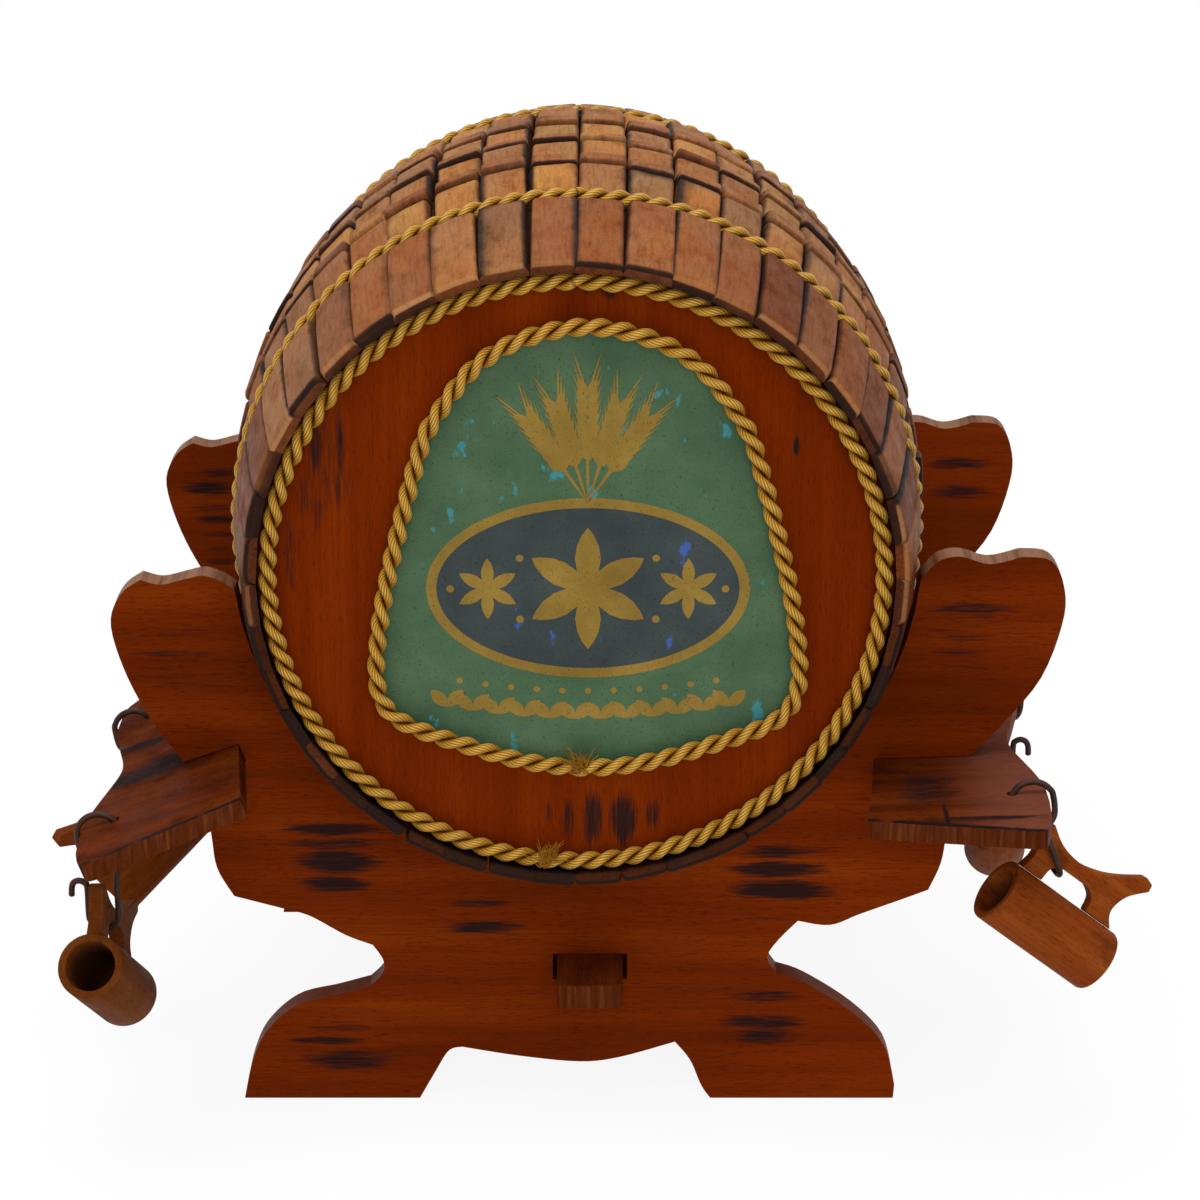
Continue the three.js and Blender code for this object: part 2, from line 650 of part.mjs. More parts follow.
function hang(geometry, mug) {
  const level = new THREE.Vector3(Math.cos(rad(mug.mouth)), Math.sin(rad(mug.mouth)), 0);
  const up = new THREE.Vector3(0, 0, 1);
  const along = level.clone().multiplyScalar(Math.cos(hangAngle)).addScaledVector(up, Math.sin(hangAngle));
  const out = level.clone().multiplyScalar(-Math.sin(hangAngle)).addScaledVector(up, Math.cos(hangAngle));
  const across = along.clone().cross(out);
  const under = (depth) => loopCentre(mug).addScaledVector(up, -depth).applyMatrix4(leanOut(mug));
  const wire = under(mug.drop);
  const bendCentre = under(mug.drop - BEND_R);
  const origin = wire.addScaledVector(along, -HANG_ALONG).addScaledVector(out, -HANG_OUT).sub(bendCentre);
  const placed = new THREE.Matrix4().makeBasis(along, out, across).setPosition(origin);
  const rolled = new THREE.Matrix4().makeRotationAxis(level, rad(mug.roll)).setPosition(bendCentre);
  return geometry.applyMatrix4(rolled.multiply(placed));
}

for (const mug of MUGS) {
  add(`${mug.name}_hook`, hook(mug), IRON, 0.5, 0.8);
  add(`${mug.name}_cup`, hang(cup(), mug), MUG_WOOD, 0.55);
  add(`${mug.name}_handle`, hang(handle(), mug), MUG_WOOD, 0.55);
}

// The origin is the middle of the object's footprint box, on the floor
const box = new THREE.Box3();
for (const mesh of group.children) {
  mesh.geometry.computeBoundingBox();
  box.union(mesh.geometry.boundingBox);
}
const middle = box.getCenter(new THREE.Vector3());
for (const mesh of group.children) {
  mesh.geometry.translate(-middle.x, -middle.y, -box.min.z);
}

export default group;
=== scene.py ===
# %% [markdown]
# A souvenir barrel lies in a cut-out stand, and four toy mugs hang beside it on wire hooks.
# The construction is already packed as a frame, and this lesson dresses it with eased boards,
# single tiles, twisted cords, turned mugs and a printed tin. Each new piece rides on a body
# of the frame, so that it moves with the joints which the construction gave it.

# %% Load the frame
import json
import math
import random

import bmesh
import bpy
from mathutils import Matrix, Vector, noise


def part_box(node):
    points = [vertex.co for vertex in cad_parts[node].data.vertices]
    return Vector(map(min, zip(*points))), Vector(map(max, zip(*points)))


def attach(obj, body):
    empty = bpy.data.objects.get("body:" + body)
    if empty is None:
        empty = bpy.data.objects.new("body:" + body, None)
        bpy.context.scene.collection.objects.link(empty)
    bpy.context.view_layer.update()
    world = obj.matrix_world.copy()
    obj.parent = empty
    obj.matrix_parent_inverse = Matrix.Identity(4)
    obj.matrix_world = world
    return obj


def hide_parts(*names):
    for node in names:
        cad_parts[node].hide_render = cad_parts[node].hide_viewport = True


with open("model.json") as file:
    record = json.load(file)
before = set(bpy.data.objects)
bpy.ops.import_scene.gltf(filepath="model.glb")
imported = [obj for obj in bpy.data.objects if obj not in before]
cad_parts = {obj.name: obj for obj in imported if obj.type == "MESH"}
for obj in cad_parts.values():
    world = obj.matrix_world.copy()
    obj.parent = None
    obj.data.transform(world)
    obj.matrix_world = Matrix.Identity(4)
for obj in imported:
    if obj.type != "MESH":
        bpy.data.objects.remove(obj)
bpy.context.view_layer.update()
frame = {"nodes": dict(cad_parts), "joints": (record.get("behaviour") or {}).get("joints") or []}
MM = 0.001
JOINTS = {joint["name"]: joint for joint in frame["joints"]}
hoop_low, hoop_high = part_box("front_hoop_cord")
AXIS_X = (hoop_low.x + hoop_high.x) / 2 / MM
AXIS_Z = (hoop_low.z + hoop_high.z) / 2 / MM
BOARD_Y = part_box("front_cradle_board")[0].y / MM

# %% [markdown]
# The picture was taken from the front, a little above the barrel and with a long lens.
# A camera could be framed by eye, but the bottom edges of both boards, whose distance is known,
# give the height, the tilt and the focal length by calculation. The frame is square.

# %% Set up the camera
CAMERA_AT = (AXIS_X * MM + 0.00733, BOARD_Y * MM - 0.9642, 0.53986)
CAMERA_TILT = math.radians(90 - 20.54)
FOCAL_PIXELS = 3252.15
FRAME_PIXELS = 1200
SENSOR = 36.0

camera_data = bpy.data.cameras.new("camera")
camera_data.sensor_width = SENSOR
camera_data.lens = SENSOR * FOCAL_PIXELS / FRAME_PIXELS
camera = bpy.data.objects.new("camera", camera_data)
camera.location = CAMERA_AT
camera.rotation_euler = (CAMERA_TILT, 0, 0)
bpy.context.scene.collection.objects.link(camera)
bpy.context.scene.camera = camera
print("camera: lens", round(camera_data.lens, 2), "mm")

# %% [markdown]
# Every finish here is a small tree of shader nodes. Wiring each node by hand makes long code,
# so a wire stands for one output of a node. Wires can be added and multiplied like numbers,
# drawn out into noise, turned into a mask or a colour, and used to lay one colour over another.

# %% Wires between shader nodes
def feed(socket, value):
    """Links a wire to a socket, or sets a plain value on it."""
    if isinstance(value, Wire):
        socket.id_data.links.new(value.socket, socket)
    else:
        socket.default_value = value


def put(tree, kind, **inputs):
    """Adds a shader node; an input's name has _ where Blender has a space."""
    made = tree.nodes.new("ShaderNode" + kind)
    for name, value in inputs.items():
        feed(made.inputs[name.replace("_", " ")], value)
    return made


def reckon(tree, operation, *values):
    """Gives a wire with one sum of numbers or wires."""
    made = put(tree, "Math")
    made.operation = operation
    for socket, value in zip(made.inputs, values):
        feed(socket, value)
    return Wire(made.outputs["Value"])


class Wire:
    """One output of a shader node, and what can be made from it."""

    def __init__(self, socket):
        self.socket = socket
        self.tree = socket.id_data

    def __add__(self, other):
        return reckon(self.tree, "ADD", self, other)

    def __mul__(self, other):
        return reckon(self.tree, "MULTIPLY", self, other)

    def __sub__(self, other):
        return reckon(self.tree, "SUBTRACT", self, other)

    def __rsub__(self, other):
        return reckon(self.tree, "SUBTRACT", other, self)

    def most(self, other):
        """Gives the greater of two."""
        return reckon(self.tree, "MAXIMUM", self, other)

    def span(self, share, start):
        """Gives a share of this wire, added to a start."""
        return reckon(self.tree, "MULTIPLY_ADD", self, share, start)

    def split(self):
        """Gives the three parts of a vector."""
        return [Wire(part) for part in put(self.tree, "SeparateXYZ", Vector=self).outputs]

    def length(self):
        """Gives the length of a vector."""
        made = put(self.tree, "VectorMath", Vector=self)
        made.operation = "LENGTH"
        return Wire(made.outputs["Value"])

    def moved(self, scale, shift=(0, 0, 0)):
        """Gives a place that is scaled and then shifted."""
        return Wire(put(self.tree, "Mapping", Vector=self, Location=shift, Scale=scale).outputs["Vector"])

    def cloud(self, scale, stretch=(1, 1, 1), detail=3.0):
        """Gives noise of so many features to the metre, drawn out where stretch is small."""
        drawn = self.moved(stretch)
        made = put(self.tree, "TexNoise", Vector=drawn, Scale=scale, Detail=detail, Roughness=0.6)
        return Wire(made.outputs[0])

    def mask(self, low, high):
        """Gives 0 below low and 1 above high, with a soft step between."""
        made = put(self.tree, "MapRange", Value=self, From_Min=low, From_Max=high)
        made.interpolation_type = "SMOOTHSTEP"
        return Wire(made.outputs["Result"])

    def shades(self, *stops):
        """Gives a colour by stops of (place, colour)."""
        made = put(self.tree, "ValToRGB", Fac=self)
        elements = made.color_ramp.elements
        while len(elements) < len(stops):
            elements.new(1.0)
        for element, (place, colour) in zip(elements, stops):
            element.position = place
            element.color = (*colour, 1.0)
        return Wire(made.outputs["Color"])

    def mix(self, under, top, mode="MIX"):
        """Lays a colour over another by the amount in this wire."""
        made = put(self.tree, "Mix")
        made.data_type = "RGBA"
        made.blend_type = mode
        feed(made.inputs[0], self)
        for socket, colour in ((made.inputs[6], under), (made.inputs[7], top)):
            feed(socket, colour if isinstance(colour, Wire) else (*colour, 1.0))
        return Wire(made.outputs[2])


class Finish:
    """A material: where its wires start, and the shader where they end."""

    def __init__(self, name, gloss, tint=(1, 1, 1, 1)):
        self.material = bpy.data.materials.new(name)
        self.material.use_nodes = True
        self.tree = self.material.node_tree
        self.inputs = self.tree.nodes["Principled BSDF"].inputs
        feed(self.inputs["Specular IOR Level"], gloss)
        feed(self.inputs["Specular Tint"], tint)

    def coords(self, kind="Object"):
        """Gives places on the piece, or its normals."""
        return Wire(put(self.tree, "TexCoord").outputs[kind])

    def field(self, name):
        """Gives a field that the mesh carries."""
        made = put(self.tree, "Attribute")
        made.attribute_name = name
        return Wire(made.outputs["Vector"])

    def done(self, colour, roughness, height, depth):
        """Feeds the shader, with a height field of so many millimetres, and gives the material."""
        bump = put(self.tree, "Bump", Height=height, Strength=1.0, Distance=depth * MM)
        feed(self.inputs["Base Color"], colour)
        feed(self.inputs["Roughness"], roughness)
        feed(self.inputs["Normal"], Wire(bump.outputs["Normal"]))
        return self.material


print("wires: ready")

# %% [markdown]
# The barrel stands on nothing but white. A white floor alone would turn grey where it is less lit,
# so the floor shows the camera mostly plain white and lets only part of its real shading through,
# which is where the soft shadow comes from. Away from the barrel it is wholly white, like the world.

# %% Lay the floor and hang the lamps
FLOOR_HALF = 6.0
FLOOR_Z = -0.0002
FLOOR_PLAIN = 0.9
SKY_LIGHT = 0.55
LAMP_AIM = (0, 0, 0.15)


def seen_rays(tree):
    """Gives 1 for rays that show a thing, straight or by reflection, and 0 for rays that light it."""
    path = put(tree, "LightPath").outputs
    straight = Wire(path["Is Camera Ray"]).most(Wire(path["Is Glossy Ray"]))
    return straight.most(Wire(path["Is Transmission Ray"]))


floor_finish = bpy.data.materials.new("floor_paper")
floor_finish.use_nodes = True
floor_tree = floor_finish.node_tree
floor_tree.nodes.clear()
floor_place = Wire(put(floor_tree, "TexCoord").outputs["Object"])
floor_colour = floor_place.cloud(40).shades((0.3, (0.9, 0.9, 0.9)), (0.7, (0.92, 0.92, 0.92)))
floor_plain = floor_place.length().mask(0.2, 0.45).span(1.0 - FLOOR_PLAIN, FLOOR_PLAIN)
floor_mix = put(floor_tree, "MixShader", Fac=seen_rays(floor_tree) * floor_plain)
feed(floor_mix.inputs[1], Wire(put(floor_tree, "BsdfDiffuse", Color=floor_colour).outputs[0]))
feed(floor_mix.inputs[2], Wire(put(floor_tree, "Emission", Strength=1.0).outputs[0]))
put(floor_tree, "OutputMaterial", Surface=Wire(floor_mix.outputs[0]))

floor_mesh = bpy.data.meshes.new("floor")
floor_corners = [(x * FLOOR_HALF, y * FLOOR_HALF, FLOOR_Z) for x, y in ((-1, -1), (1, -1), (1, 1), (-1, 1))]
floor_mesh.from_pydata(floor_corners, [], [(0, 1, 2, 3)])
floor_mesh.materials.append(floor_finish)
floor = bpy.data.objects.new("floor", floor_mesh)
bpy.context.scene.collection.objects.link(floor)

world = bpy.data.worlds.new("studio")
world.use_nodes = True
bpy.context.scene.world = world
sky = world.node_tree.nodes["Background"].inputs
feed(sky["Color"], (1, 1, 1, 1))
feed(sky["Strength"], seen_rays(world.node_tree).span(1.0 - SKY_LIGHT, SKY_LIGHT))


def hang_lamp(name, place, size, watts):
    """Hangs a square soft lamp that faces the barrel."""
    lamp_data = bpy.data.lights.new(name, "AREA")
    lamp_data.size = size
    lamp_data.energy = watts
    lamp = bpy.data.objects.new(name, lamp_data)
    lamp.location = place
    lamp.rotation_euler = (Vector(LAMP_AIM) - Vector(place)).to_track_quat("-Z", "Y").to_euler()
    bpy.context.scene.collection.objects.link(lamp)


hang_lamp("top_softbox", (-0.15, -0.25, 1.5), 1.1, 17)
hang_lamp("front_softbox", (0.35, -1.9, 1.1), 1.2, 12)
view_settings = bpy.context.scene.view_settings
view_settings.view_transform = "Standard"
print("studio: floor, sky and 2 lamps")

# %% [markdown]
# The stand is beech, sawn by hand and stained a red orange. Beech shows broad soft bands,
# fine fibres and many short dark pores, all along the grain. One recipe makes these three fields
# for any direction of grain, so boards, head, planks and mugs stay the same wood.

# %% Grain of stained beech
CHARRED = (0.011, 0.0065, 0.0075)
LACQUER = (1.0, 0.35, 0.06, 1.0)
FAR = 10.0


def grain_stretch(along, share):
    """Gives the stretch of noise that is drawn out along one axis."""
    stretch = [1.0, 1.0, 1.0]
    stretch[along] = share
    return stretch


def beech(place, along, dark, middle, light, band_width=16.0):
    """Gives the colour and the height field of beech whose grain runs along one axis."""
    band = place.cloud(1000 / band_width, grain_stretch(along, 0.06), 4.0)
    fibre = place.cloud(1500, grain_stretch(along, 0.025))
    pore = place.cloud(2900, grain_stretch(along, 0.1), 1.0).mask(0.58, 0.72)
    colour = band.shades((0.3, dark), (0.5, middle), (0.72, light))
    colour = (fibre.mask(0.42, 0.7) * 0.4).mix(colour, dark)
    colour = (pore * 0.5).mix(colour, [0.45 * part for part in dark])
    return colour, fibre - pore


def patch(place, centre, reach):
    """Gives 1 inside an oval patch and 0 outside it, with a wide soft edge."""
    shift = [-middle / half for middle, half in zip(centre, reach)]
    return place.moved([1 / half for half in reach], shift).length().mask(2.0, 0.3)


def scorch(place, spots, stretch, flat=False):
    """Gives burnt streaks inside oval spots of (x, z, half width, half height, strength), or on flat
    pieces of (x, y, half width, half depth, strength), in millimetres from axis and front board."""
    burnt = 0.0
    for x, other, half_x, half_other, strength in spots:
        if flat:
            centre = ((AXIS_X + x) * MM, (BOARD_Y + other) * MM, 0)
            reach = (half_x * MM, half_other * MM, FAR)
        else:
            centre = ((AXIS_X + x) * MM, 0, other * MM)
            reach = (half_x * MM, FAR, half_other * MM)
        burnt = (patch(place, centre, reach) * strength).most(burnt)
    streak = place.cloud(220, stretch) * 0.7 + place.cloud(1300, stretch, 2.0)
    return (streak + burnt * 0.8).mask(1.12, 1.7) * 0.94


print("beech: ready")

# %% [markdown]
# The two cradle boards were singed with a flame before the lacquer, which left stacks of short black
# bars along the grain in a handful of places, and a haze of smoke on the wings. Their upper edges
# were left as the saw made them, and look pale. The right foot is painted a shade lighter than the left,
# as painted light from the right. All these marks follow the board itself, so they are placed by object
# coordinates.

# %% Finish of the cradle boards
FRONT_SCORCH = (
    (65, 91, 14, 2.5, 0.9), (65, 84.7, 15, 2.5, 1.3), (67, 77.3, 15, 3.4, 1.2), (67, 67, 13, 1.1, 0.6),
    (63, 38.3, 11, 1.9, 0.9), (62, 29, 13, 2.6, 0.9), (62, 23.5, 12, 2.6, 0.9), (-79, 98.9, 15, 2, 1.2),
    (-79, 93.9, 17, 2.3, 0.9), (-78, 87.4, 12, 3.8, 1.2), (-79, 79.1, 10, 2.7, 1.2),
    (-32, 72.3, 10, 1.6, 0.9), (-31, 63.5, 12, 2.4, 1.0), (-79, 26.6, 12, 2.1, 0.7),
    (-83, 21.7, 13, 1.3, 1.1), (-76, 14.2, 14, 3.6, 0.9), (-126, 168.8, 13, 1, 0.6),
    (-126, 160.2, 15, 1.4, 0.8), (-128, 155.4, 11, 0.7, 0.7), (-124, 149.9, 14, 1.4, 0.7),
    (126, 182.8, 8, 1.9, 0.6), (125, 175.9, 12, 2, 0.8), (124, 165.7, 10, 1.4, 0.75),
    (122, 160.7, 10, 1.5, 0.75), (124, 155.8, 8, 1, 0.6), (-126, 158, 26, 12, 0.42),
    (124, 167, 20, 14, 0.42),
)
REAR_SCORCH = (
    (-133, 168, 9.2, 2.6, 1.0), (-132, 161, 7.5, 1.7, 0.8), (-130, 145.4, 5.4, 1.3, 0.7),
    (136, 177.5, 10.8, 2.3, 0.9), (136, 167.3, 10, 2.6, 0.9), (-64, 33, 16, 2.4, 1.1), (-66, 26, 13, 2, 1.0),
    (36, 78, 18, 2.4, 1.2), (34, 71, 15, 2, 1.0), (-130, 174, 8, 1.7, 0.9), (-130, 156.5, 7, 1.5, 0.9),
    (-130, 151, 7, 1.3, 0.8), (-129, 140.5, 6, 1.4, 0.8),
)
BOARD_LIGHT = (0.19, 0.029, 0.002)
BOARD_WOOD = ((0.09, 0.011, 0.0009), (0.14, 0.0175, 0.0012), BOARD_LIGHT)
LIGHT_FROM_RIGHT_TINT = (1.25, 1.22, 1.2)
SAWN = (0.21, 0.1, 0.052)
SAWN_DARK = (0.07, 0.024, 0.01)


def board_finish(name, spots):
    """Makes stained beech with singed spots, for one cradle board."""
    finish = Finish(name, 0.03, LACQUER)
    place = finish.coords()
    colour, height = beech(place, 0, *BOARD_WOOD)
    rightward, _, high = place.split()
    # Painted light: the lower right of the board, with the right foot, is lightened as if more light fell
    # from the right.
    painted_light = rightward.mask(-0.01, 0.11) * high.mask(0.16, 0.09)
    colour = painted_light.mix(colour, LIGHT_FROM_RIGHT_TINT, "MULTIPLY")
    colour = scorch(place, spots, (0.07, 0.3, 1.0)).mix(colour, CHARRED)
    upward = finish.coords("Normal").split()[2]
    bare = high.mask(0.1, 0.16).span(0.8, 0.1) * upward.mask(0.25, 0.7)
    sawn = place.cloud(320, grain_stretch(1, 0.06)).shades((0.3, SAWN_DARK), (0.55, SAWN))
    gloss = place.cloud(120).span(0.25, 0.3)
    return finish.done(bare.mix(colour, sawn), gloss, height, 0.06)


front_board_finish = board_finish("front_board_stain", FRONT_SCORCH)
rear_board_finish = board_finish("rear_board_stain", REAR_SCORCH)
print("boards:", len(FRONT_SCORCH) + len(REAR_SCORCH), "singed spots")

# %% [markdown]
# A sawn and sanded edge is never a knife edge, and here the flame also darkened it.
# The frame's own mesh has sharp edges, so each board is copied, its flat faces are joined again
# and its edges are bevelled by half a millimetre. The bevel gets a darker finish of its own.

# %% Finish of the worn edges
def edge_finish(name, stain, burnt_share):
    """Makes the darker finish of an eased edge; burnt_share says how much of it is charred."""
    finish = Finish(name, 0.03, LACQUER)
    place = finish.coords()
    rub = place.cloud(160, detail=4.0)
    colour = rub.mask(0.75 - burnt_share, 0.9 - burnt_share).mix(stain, CHARRED)
    colour = (place.cloud(240).mask(0.6, 0.7) * 0.5).mix(colour, BOARD_LIGHT)
    return finish.done(colour, rub.mask(-0.8, 1.2), rub, 0.1)


board_edge = edge_finish("board_edge", (0.06, 0.011, 0.002), 0.45)
plank_edge = edge_finish("plank_edge", (0.03, 0.008, 0.003), 0.68)
head_edge = edge_finish("head_edge", (0.1, 0.015, 0.001), 0.25)
print("edges: 3 finishes")

# %% Ease the edges of a copied node
SAME_SPOT = 0.002 * MM
SAME_PLANE = math.radians(0.6)
CRISP_ANGLE = 32
EASED_CREASE = 50


def seat(piece, body, slot, *nodes):
    """Links a piece, lets it ride on a body and lets it stand for nodes of the frame."""
    bpy.context.scene.collection.objects.link(piece)
    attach(piece, body)
    if nodes:
        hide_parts(*nodes)
    return piece


def ease_edges(block, angle, width, material=0):
    """Bevels all edges that turn by more than an angle in degrees."""
    crisp = [edge for edge in block.edges if edge.calc_face_angle(0) > math.radians(angle)]
    bmesh.ops.bevel(block, geom=crisp, offset=width, offset_type="OFFSET", segments=2, profile=0.5,
                    affect="EDGES", clamp_overlap=True, material=material)


def smooth_shading(mesh, crease):
    """Shades a mesh smooth, but for edges that turn by more than the crease in degrees."""
    mesh.shade_smooth()
    mesh.set_sharp_from_angle(angle=math.radians(crease))


def even_shading(piece):
    """Keeps the flat faces beside a bevel flat in the light."""
    piece.modifiers.new("even_shading", "WEIGHTED_NORMAL").keep_sharp = True


def eased_copy(name, node, body, slot, finish, rim, width=0.5):
    """Copies a node's mesh, eases its edges by so many millimetres and seats it."""
    block = bmesh.new()
    block.from_mesh(frame["nodes"][node].data)
    bmesh.ops.remove_doubles(block, verts=block.verts, dist=SAME_SPOT)
    bmesh.ops.dissolve_limit(block, angle_limit=SAME_PLANE, verts=block.verts, edges=block.edges)
    ease_edges(block, CRISP_ANGLE, width * MM, 1)
    mesh = bpy.data.meshes.new(name)
    block.to_mesh(mesh)
    block.free()
    mesh.materials.clear()
    mesh.materials.append(finish)
    mesh.materials.append(rim)
    smooth_shading(mesh, EASED_CREASE)
    piece = bpy.data.objects.new(name, mesh)
    even_shading(piece)
    print(name, len(mesh.polygons), "faces")
    return seat(piece, body, slot, node)


eased_copy("front_board", "front_cradle_board", "stand", "stained_wood", front_board_finish, board_edge)
eased_copy("rear_board", "rear_cradle_board", "stand", "stained_wood", rear_board_finish, board_edge)

# %% [markdown]
# The hanger planks and the stretcher are the same stained beech, but darker and rougher.
# The grain of a plank runs from its inner to its outer edge, and the flame left dark bands along it
# at places that can be named, and a broken dark line behind its front arris. The right plank gets a
# painted sheen towards its outer end. The front edge shows upright marks of the saw.

# %% Hanger planks and stretcher
PLANK_WOOD = ((0.05, 0.008, 0.0012), (0.09, 0.015, 0.002), (0.14, 0.026, 0.0035))
PLANK_SMOKE = (0.5, 0.55, 0.8)
PLANK_SAWN = ((0.3, (0.05, 0.009, 0.002)), (0.55, (0.085, 0.018, 0.005)), (0.75, (0.15, 0.042, 0.012)))
PLANK_EASE = 0.9
PAINTED_SHEEN_COLOUR = (0.17, 0.055, 0.034)
PAINTED_SHEEN_SPAN = (112, 140)
LEFT_SCORCH = ((-141, 2, 17, 6, 1.1), (-128, 8, 14, 4, 1), (-145, 29, 9, 2.6, 1.2), (-120, -24, 18, 9, 0.5))
RIGHT_SCORCH = ((111, -24, 9, 12, 0.8), (114.6, -46, 0.7, 9, 1.4), (128, -48, 16, 2, 1))
LEFT_ARRIS = ((-103.5, -47.5), (-149.75, -59.2))
RIGHT_ARRIS = ((90, -47.5), (141, -59.2))
ARRIS_CLEAR = 2.6 * MM
ARRIS_BURNT = 1.8 * MM
STRETCHER_SCORCH = ((4, 70, 8, 20, 1), (4, -20, 9, 3, 0.5))


def burnt_arris(place, start, end):
    """Gives a broken dark line just behind an edge that runs from start to end in plan, in millimetres."""
    inward = Vector((start[1] - end[1], end[0] - start[0], 0)).normalized()
    if inward.y < 0:
        inward.negate()
    behind = put(place.tree, "VectorMath", Vector=place)
    behind.operation = "DOT_PRODUCT"
    behind.inputs[1].default_value = inward
    edge = inward.dot(Vector((AXIS_X + start[0], BOARD_Y + start[1], 0))) * MM
    line = Wire(behind.outputs["Value"]).mask(edge + ARRIS_CLEAR, edge + ARRIS_BURNT)
    return line * place.cloud(90).mask(0.34, 0.5)


def plank_finish(name, along, spots, arris=None, painted_light=None):
    """Makes dark stained beech with burnt bands along its grain. A burnt arris may be named, and a pair
    of places across the stand between which a painted sheen lightens the outer end."""
    finish = Finish(name, 0.02, LACQUER)
    place = finish.coords()
    colour, height = beech(place, along, *PLANK_WOOD, 9.0)
    smoke = place.cloud(70, detail=4.0)
    colour = smoke.mask(0.5, 0.75).mix(colour, PLANK_SMOKE, "MULTIPLY")
    if painted_light:
        # Painted sheen: the outer end is lightened as if the lamps shone back from its lacquer.
        painted_sheen = place.split()[0].mask(*((AXIS_X + x) * MM for x in painted_light))
        colour = (painted_sheen * 0.6).mix(colour, PAINTED_SHEEN_COLOUR)
    colour = scorch(place, spots, grain_stretch(along, 0.12), True).mix(colour, CHARRED)
    if arris:
        colour = burnt_arris(place, *arris).mix(colour, CHARRED)
    sawn = place.cloud(700, grain_stretch(2, 0.06)).shades(*PLANK_SAWN)
    forward = finish.coords("Normal").split()[1]
    colour = forward.mask(-0.6, -0.9).mix(colour, sawn)
    return finish.done(colour, smoke.mask(-0.6, 1.3), height, 0.1)


left_stain = plank_finish("left_plank_stain", 0, LEFT_SCORCH, LEFT_ARRIS)
right_stain = plank_finish("right_plank_stain", 0, RIGHT_SCORCH, RIGHT_ARRIS, PAINTED_SHEEN_SPAN)
stretcher_stain = plank_finish("stretcher_stain", 1, STRETCHER_SCORCH)
eased_copy("left_plank", "left_hanger_plank", "stand", "stained_wood", left_stain, plank_edge, PLANK_EASE)
eased_copy("right_plank", "right_hanger_plank", "stand", "stained_wood", right_stain, plank_edge, PLANK_EASE)
eased_copy("stand_stretcher", "stretcher", "stand", "stained_wood", stretcher_stain, plank_edge)

# %% [markdown]
# The barrel heads are thin discs of beech with upright grain, lacquered to a deeper red.
# They could share the boards' finish turned by a quarter, but they are evener and glossier,
# with fewer singed marks, so they get their own colours.

# %% Barrel heads
HEAD_SCORCH = (
    (-9, 115, 1.2, 4, 0.8), (-3, 112.3, 2.4, 7.8, 0.8), (5, 113.2, 3, 8.7, 0.95), (15, 112.6, 3.8, 8.2, 1.2),
    (24, 114.6, 2.6, 4.9, 0.8), (10, 286.3, 3, 3.5, 1.0), (4, 286.5, 2.4, 2.5, 0.7), (67, 237, 0.8, 2.6, 1.1),
    (-79, 236.5, 1.8, 10, 0.9), (-71.5, 238.5, 1.6, 11, 0.95), (-83.5, 221, 1.7, 9, 0.75),
    (-79, 216, 1.5, 8, 0.7), (-73, 224, 1.3, 8, 0.75), (-88, 203, 1.4, 12, 0.75), (-77, 233, 10, 20, 0.5),
)
HEAD_WOOD = ((0.1, 0.0105, 0.0003), (0.15, 0.0165, 0.0004), (0.2, 0.028, 0.0008))


def stain_heads():
    """Makes the finish of the barrel heads."""
    finish = Finish("head_stain", 0.07, LACQUER)
    place = finish.coords()
    colour, height = beech(place, 2, *HEAD_WOOD, 22.0)
    colour = scorch(place, HEAD_SCORCH, (1.0, 0.3, 0.07)).mix(colour, CHARRED)
    return finish.done(colour, place.cloud(90, grain_stretch(2, 0.3)).mask(-0.7, 1.6), height, 0.05)


head_finish = stain_heads()
eased_copy("barrel_front_head", "front_head", "barrel", "head_wood", head_finish, head_edge)
eased_copy("barrel_rear_head", "rear_head", "barrel", "head_wood", head_finish, head_edge)

# %% [markdown]
# The barrel's skin is some four hundred little wooden tiles, singed at their edges before they were
# glued on. Each one differs in tone and kind of wood, so the finish reads two fields which the mesh
# carries: tile_place, a place on the tile for its grain, and tile_marks, its tone, singeing and wear.
# The tone also holds painted light from above, and the wear a painted highlight along one edge.

# %% Finish of the tiles
TILE_TONES = (
    (0.0, (0.06, 0.016, 0.006)), (0.2, (0.13, 0.036, 0.012)), (0.4, (0.195, 0.066, 0.023)),
    (0.55, (0.24, 0.092, 0.034)), (0.75, (0.285, 0.125, 0.046)), (0.9, (0.33, 0.155, 0.056)),
    (1.0, (0.37, 0.175, 0.05)),
)
TILE_WORN_HIGHLIGHT = (0.36, 0.17, 0.07)
TILE_BURNT = (0.018, 0.01, 0.008)


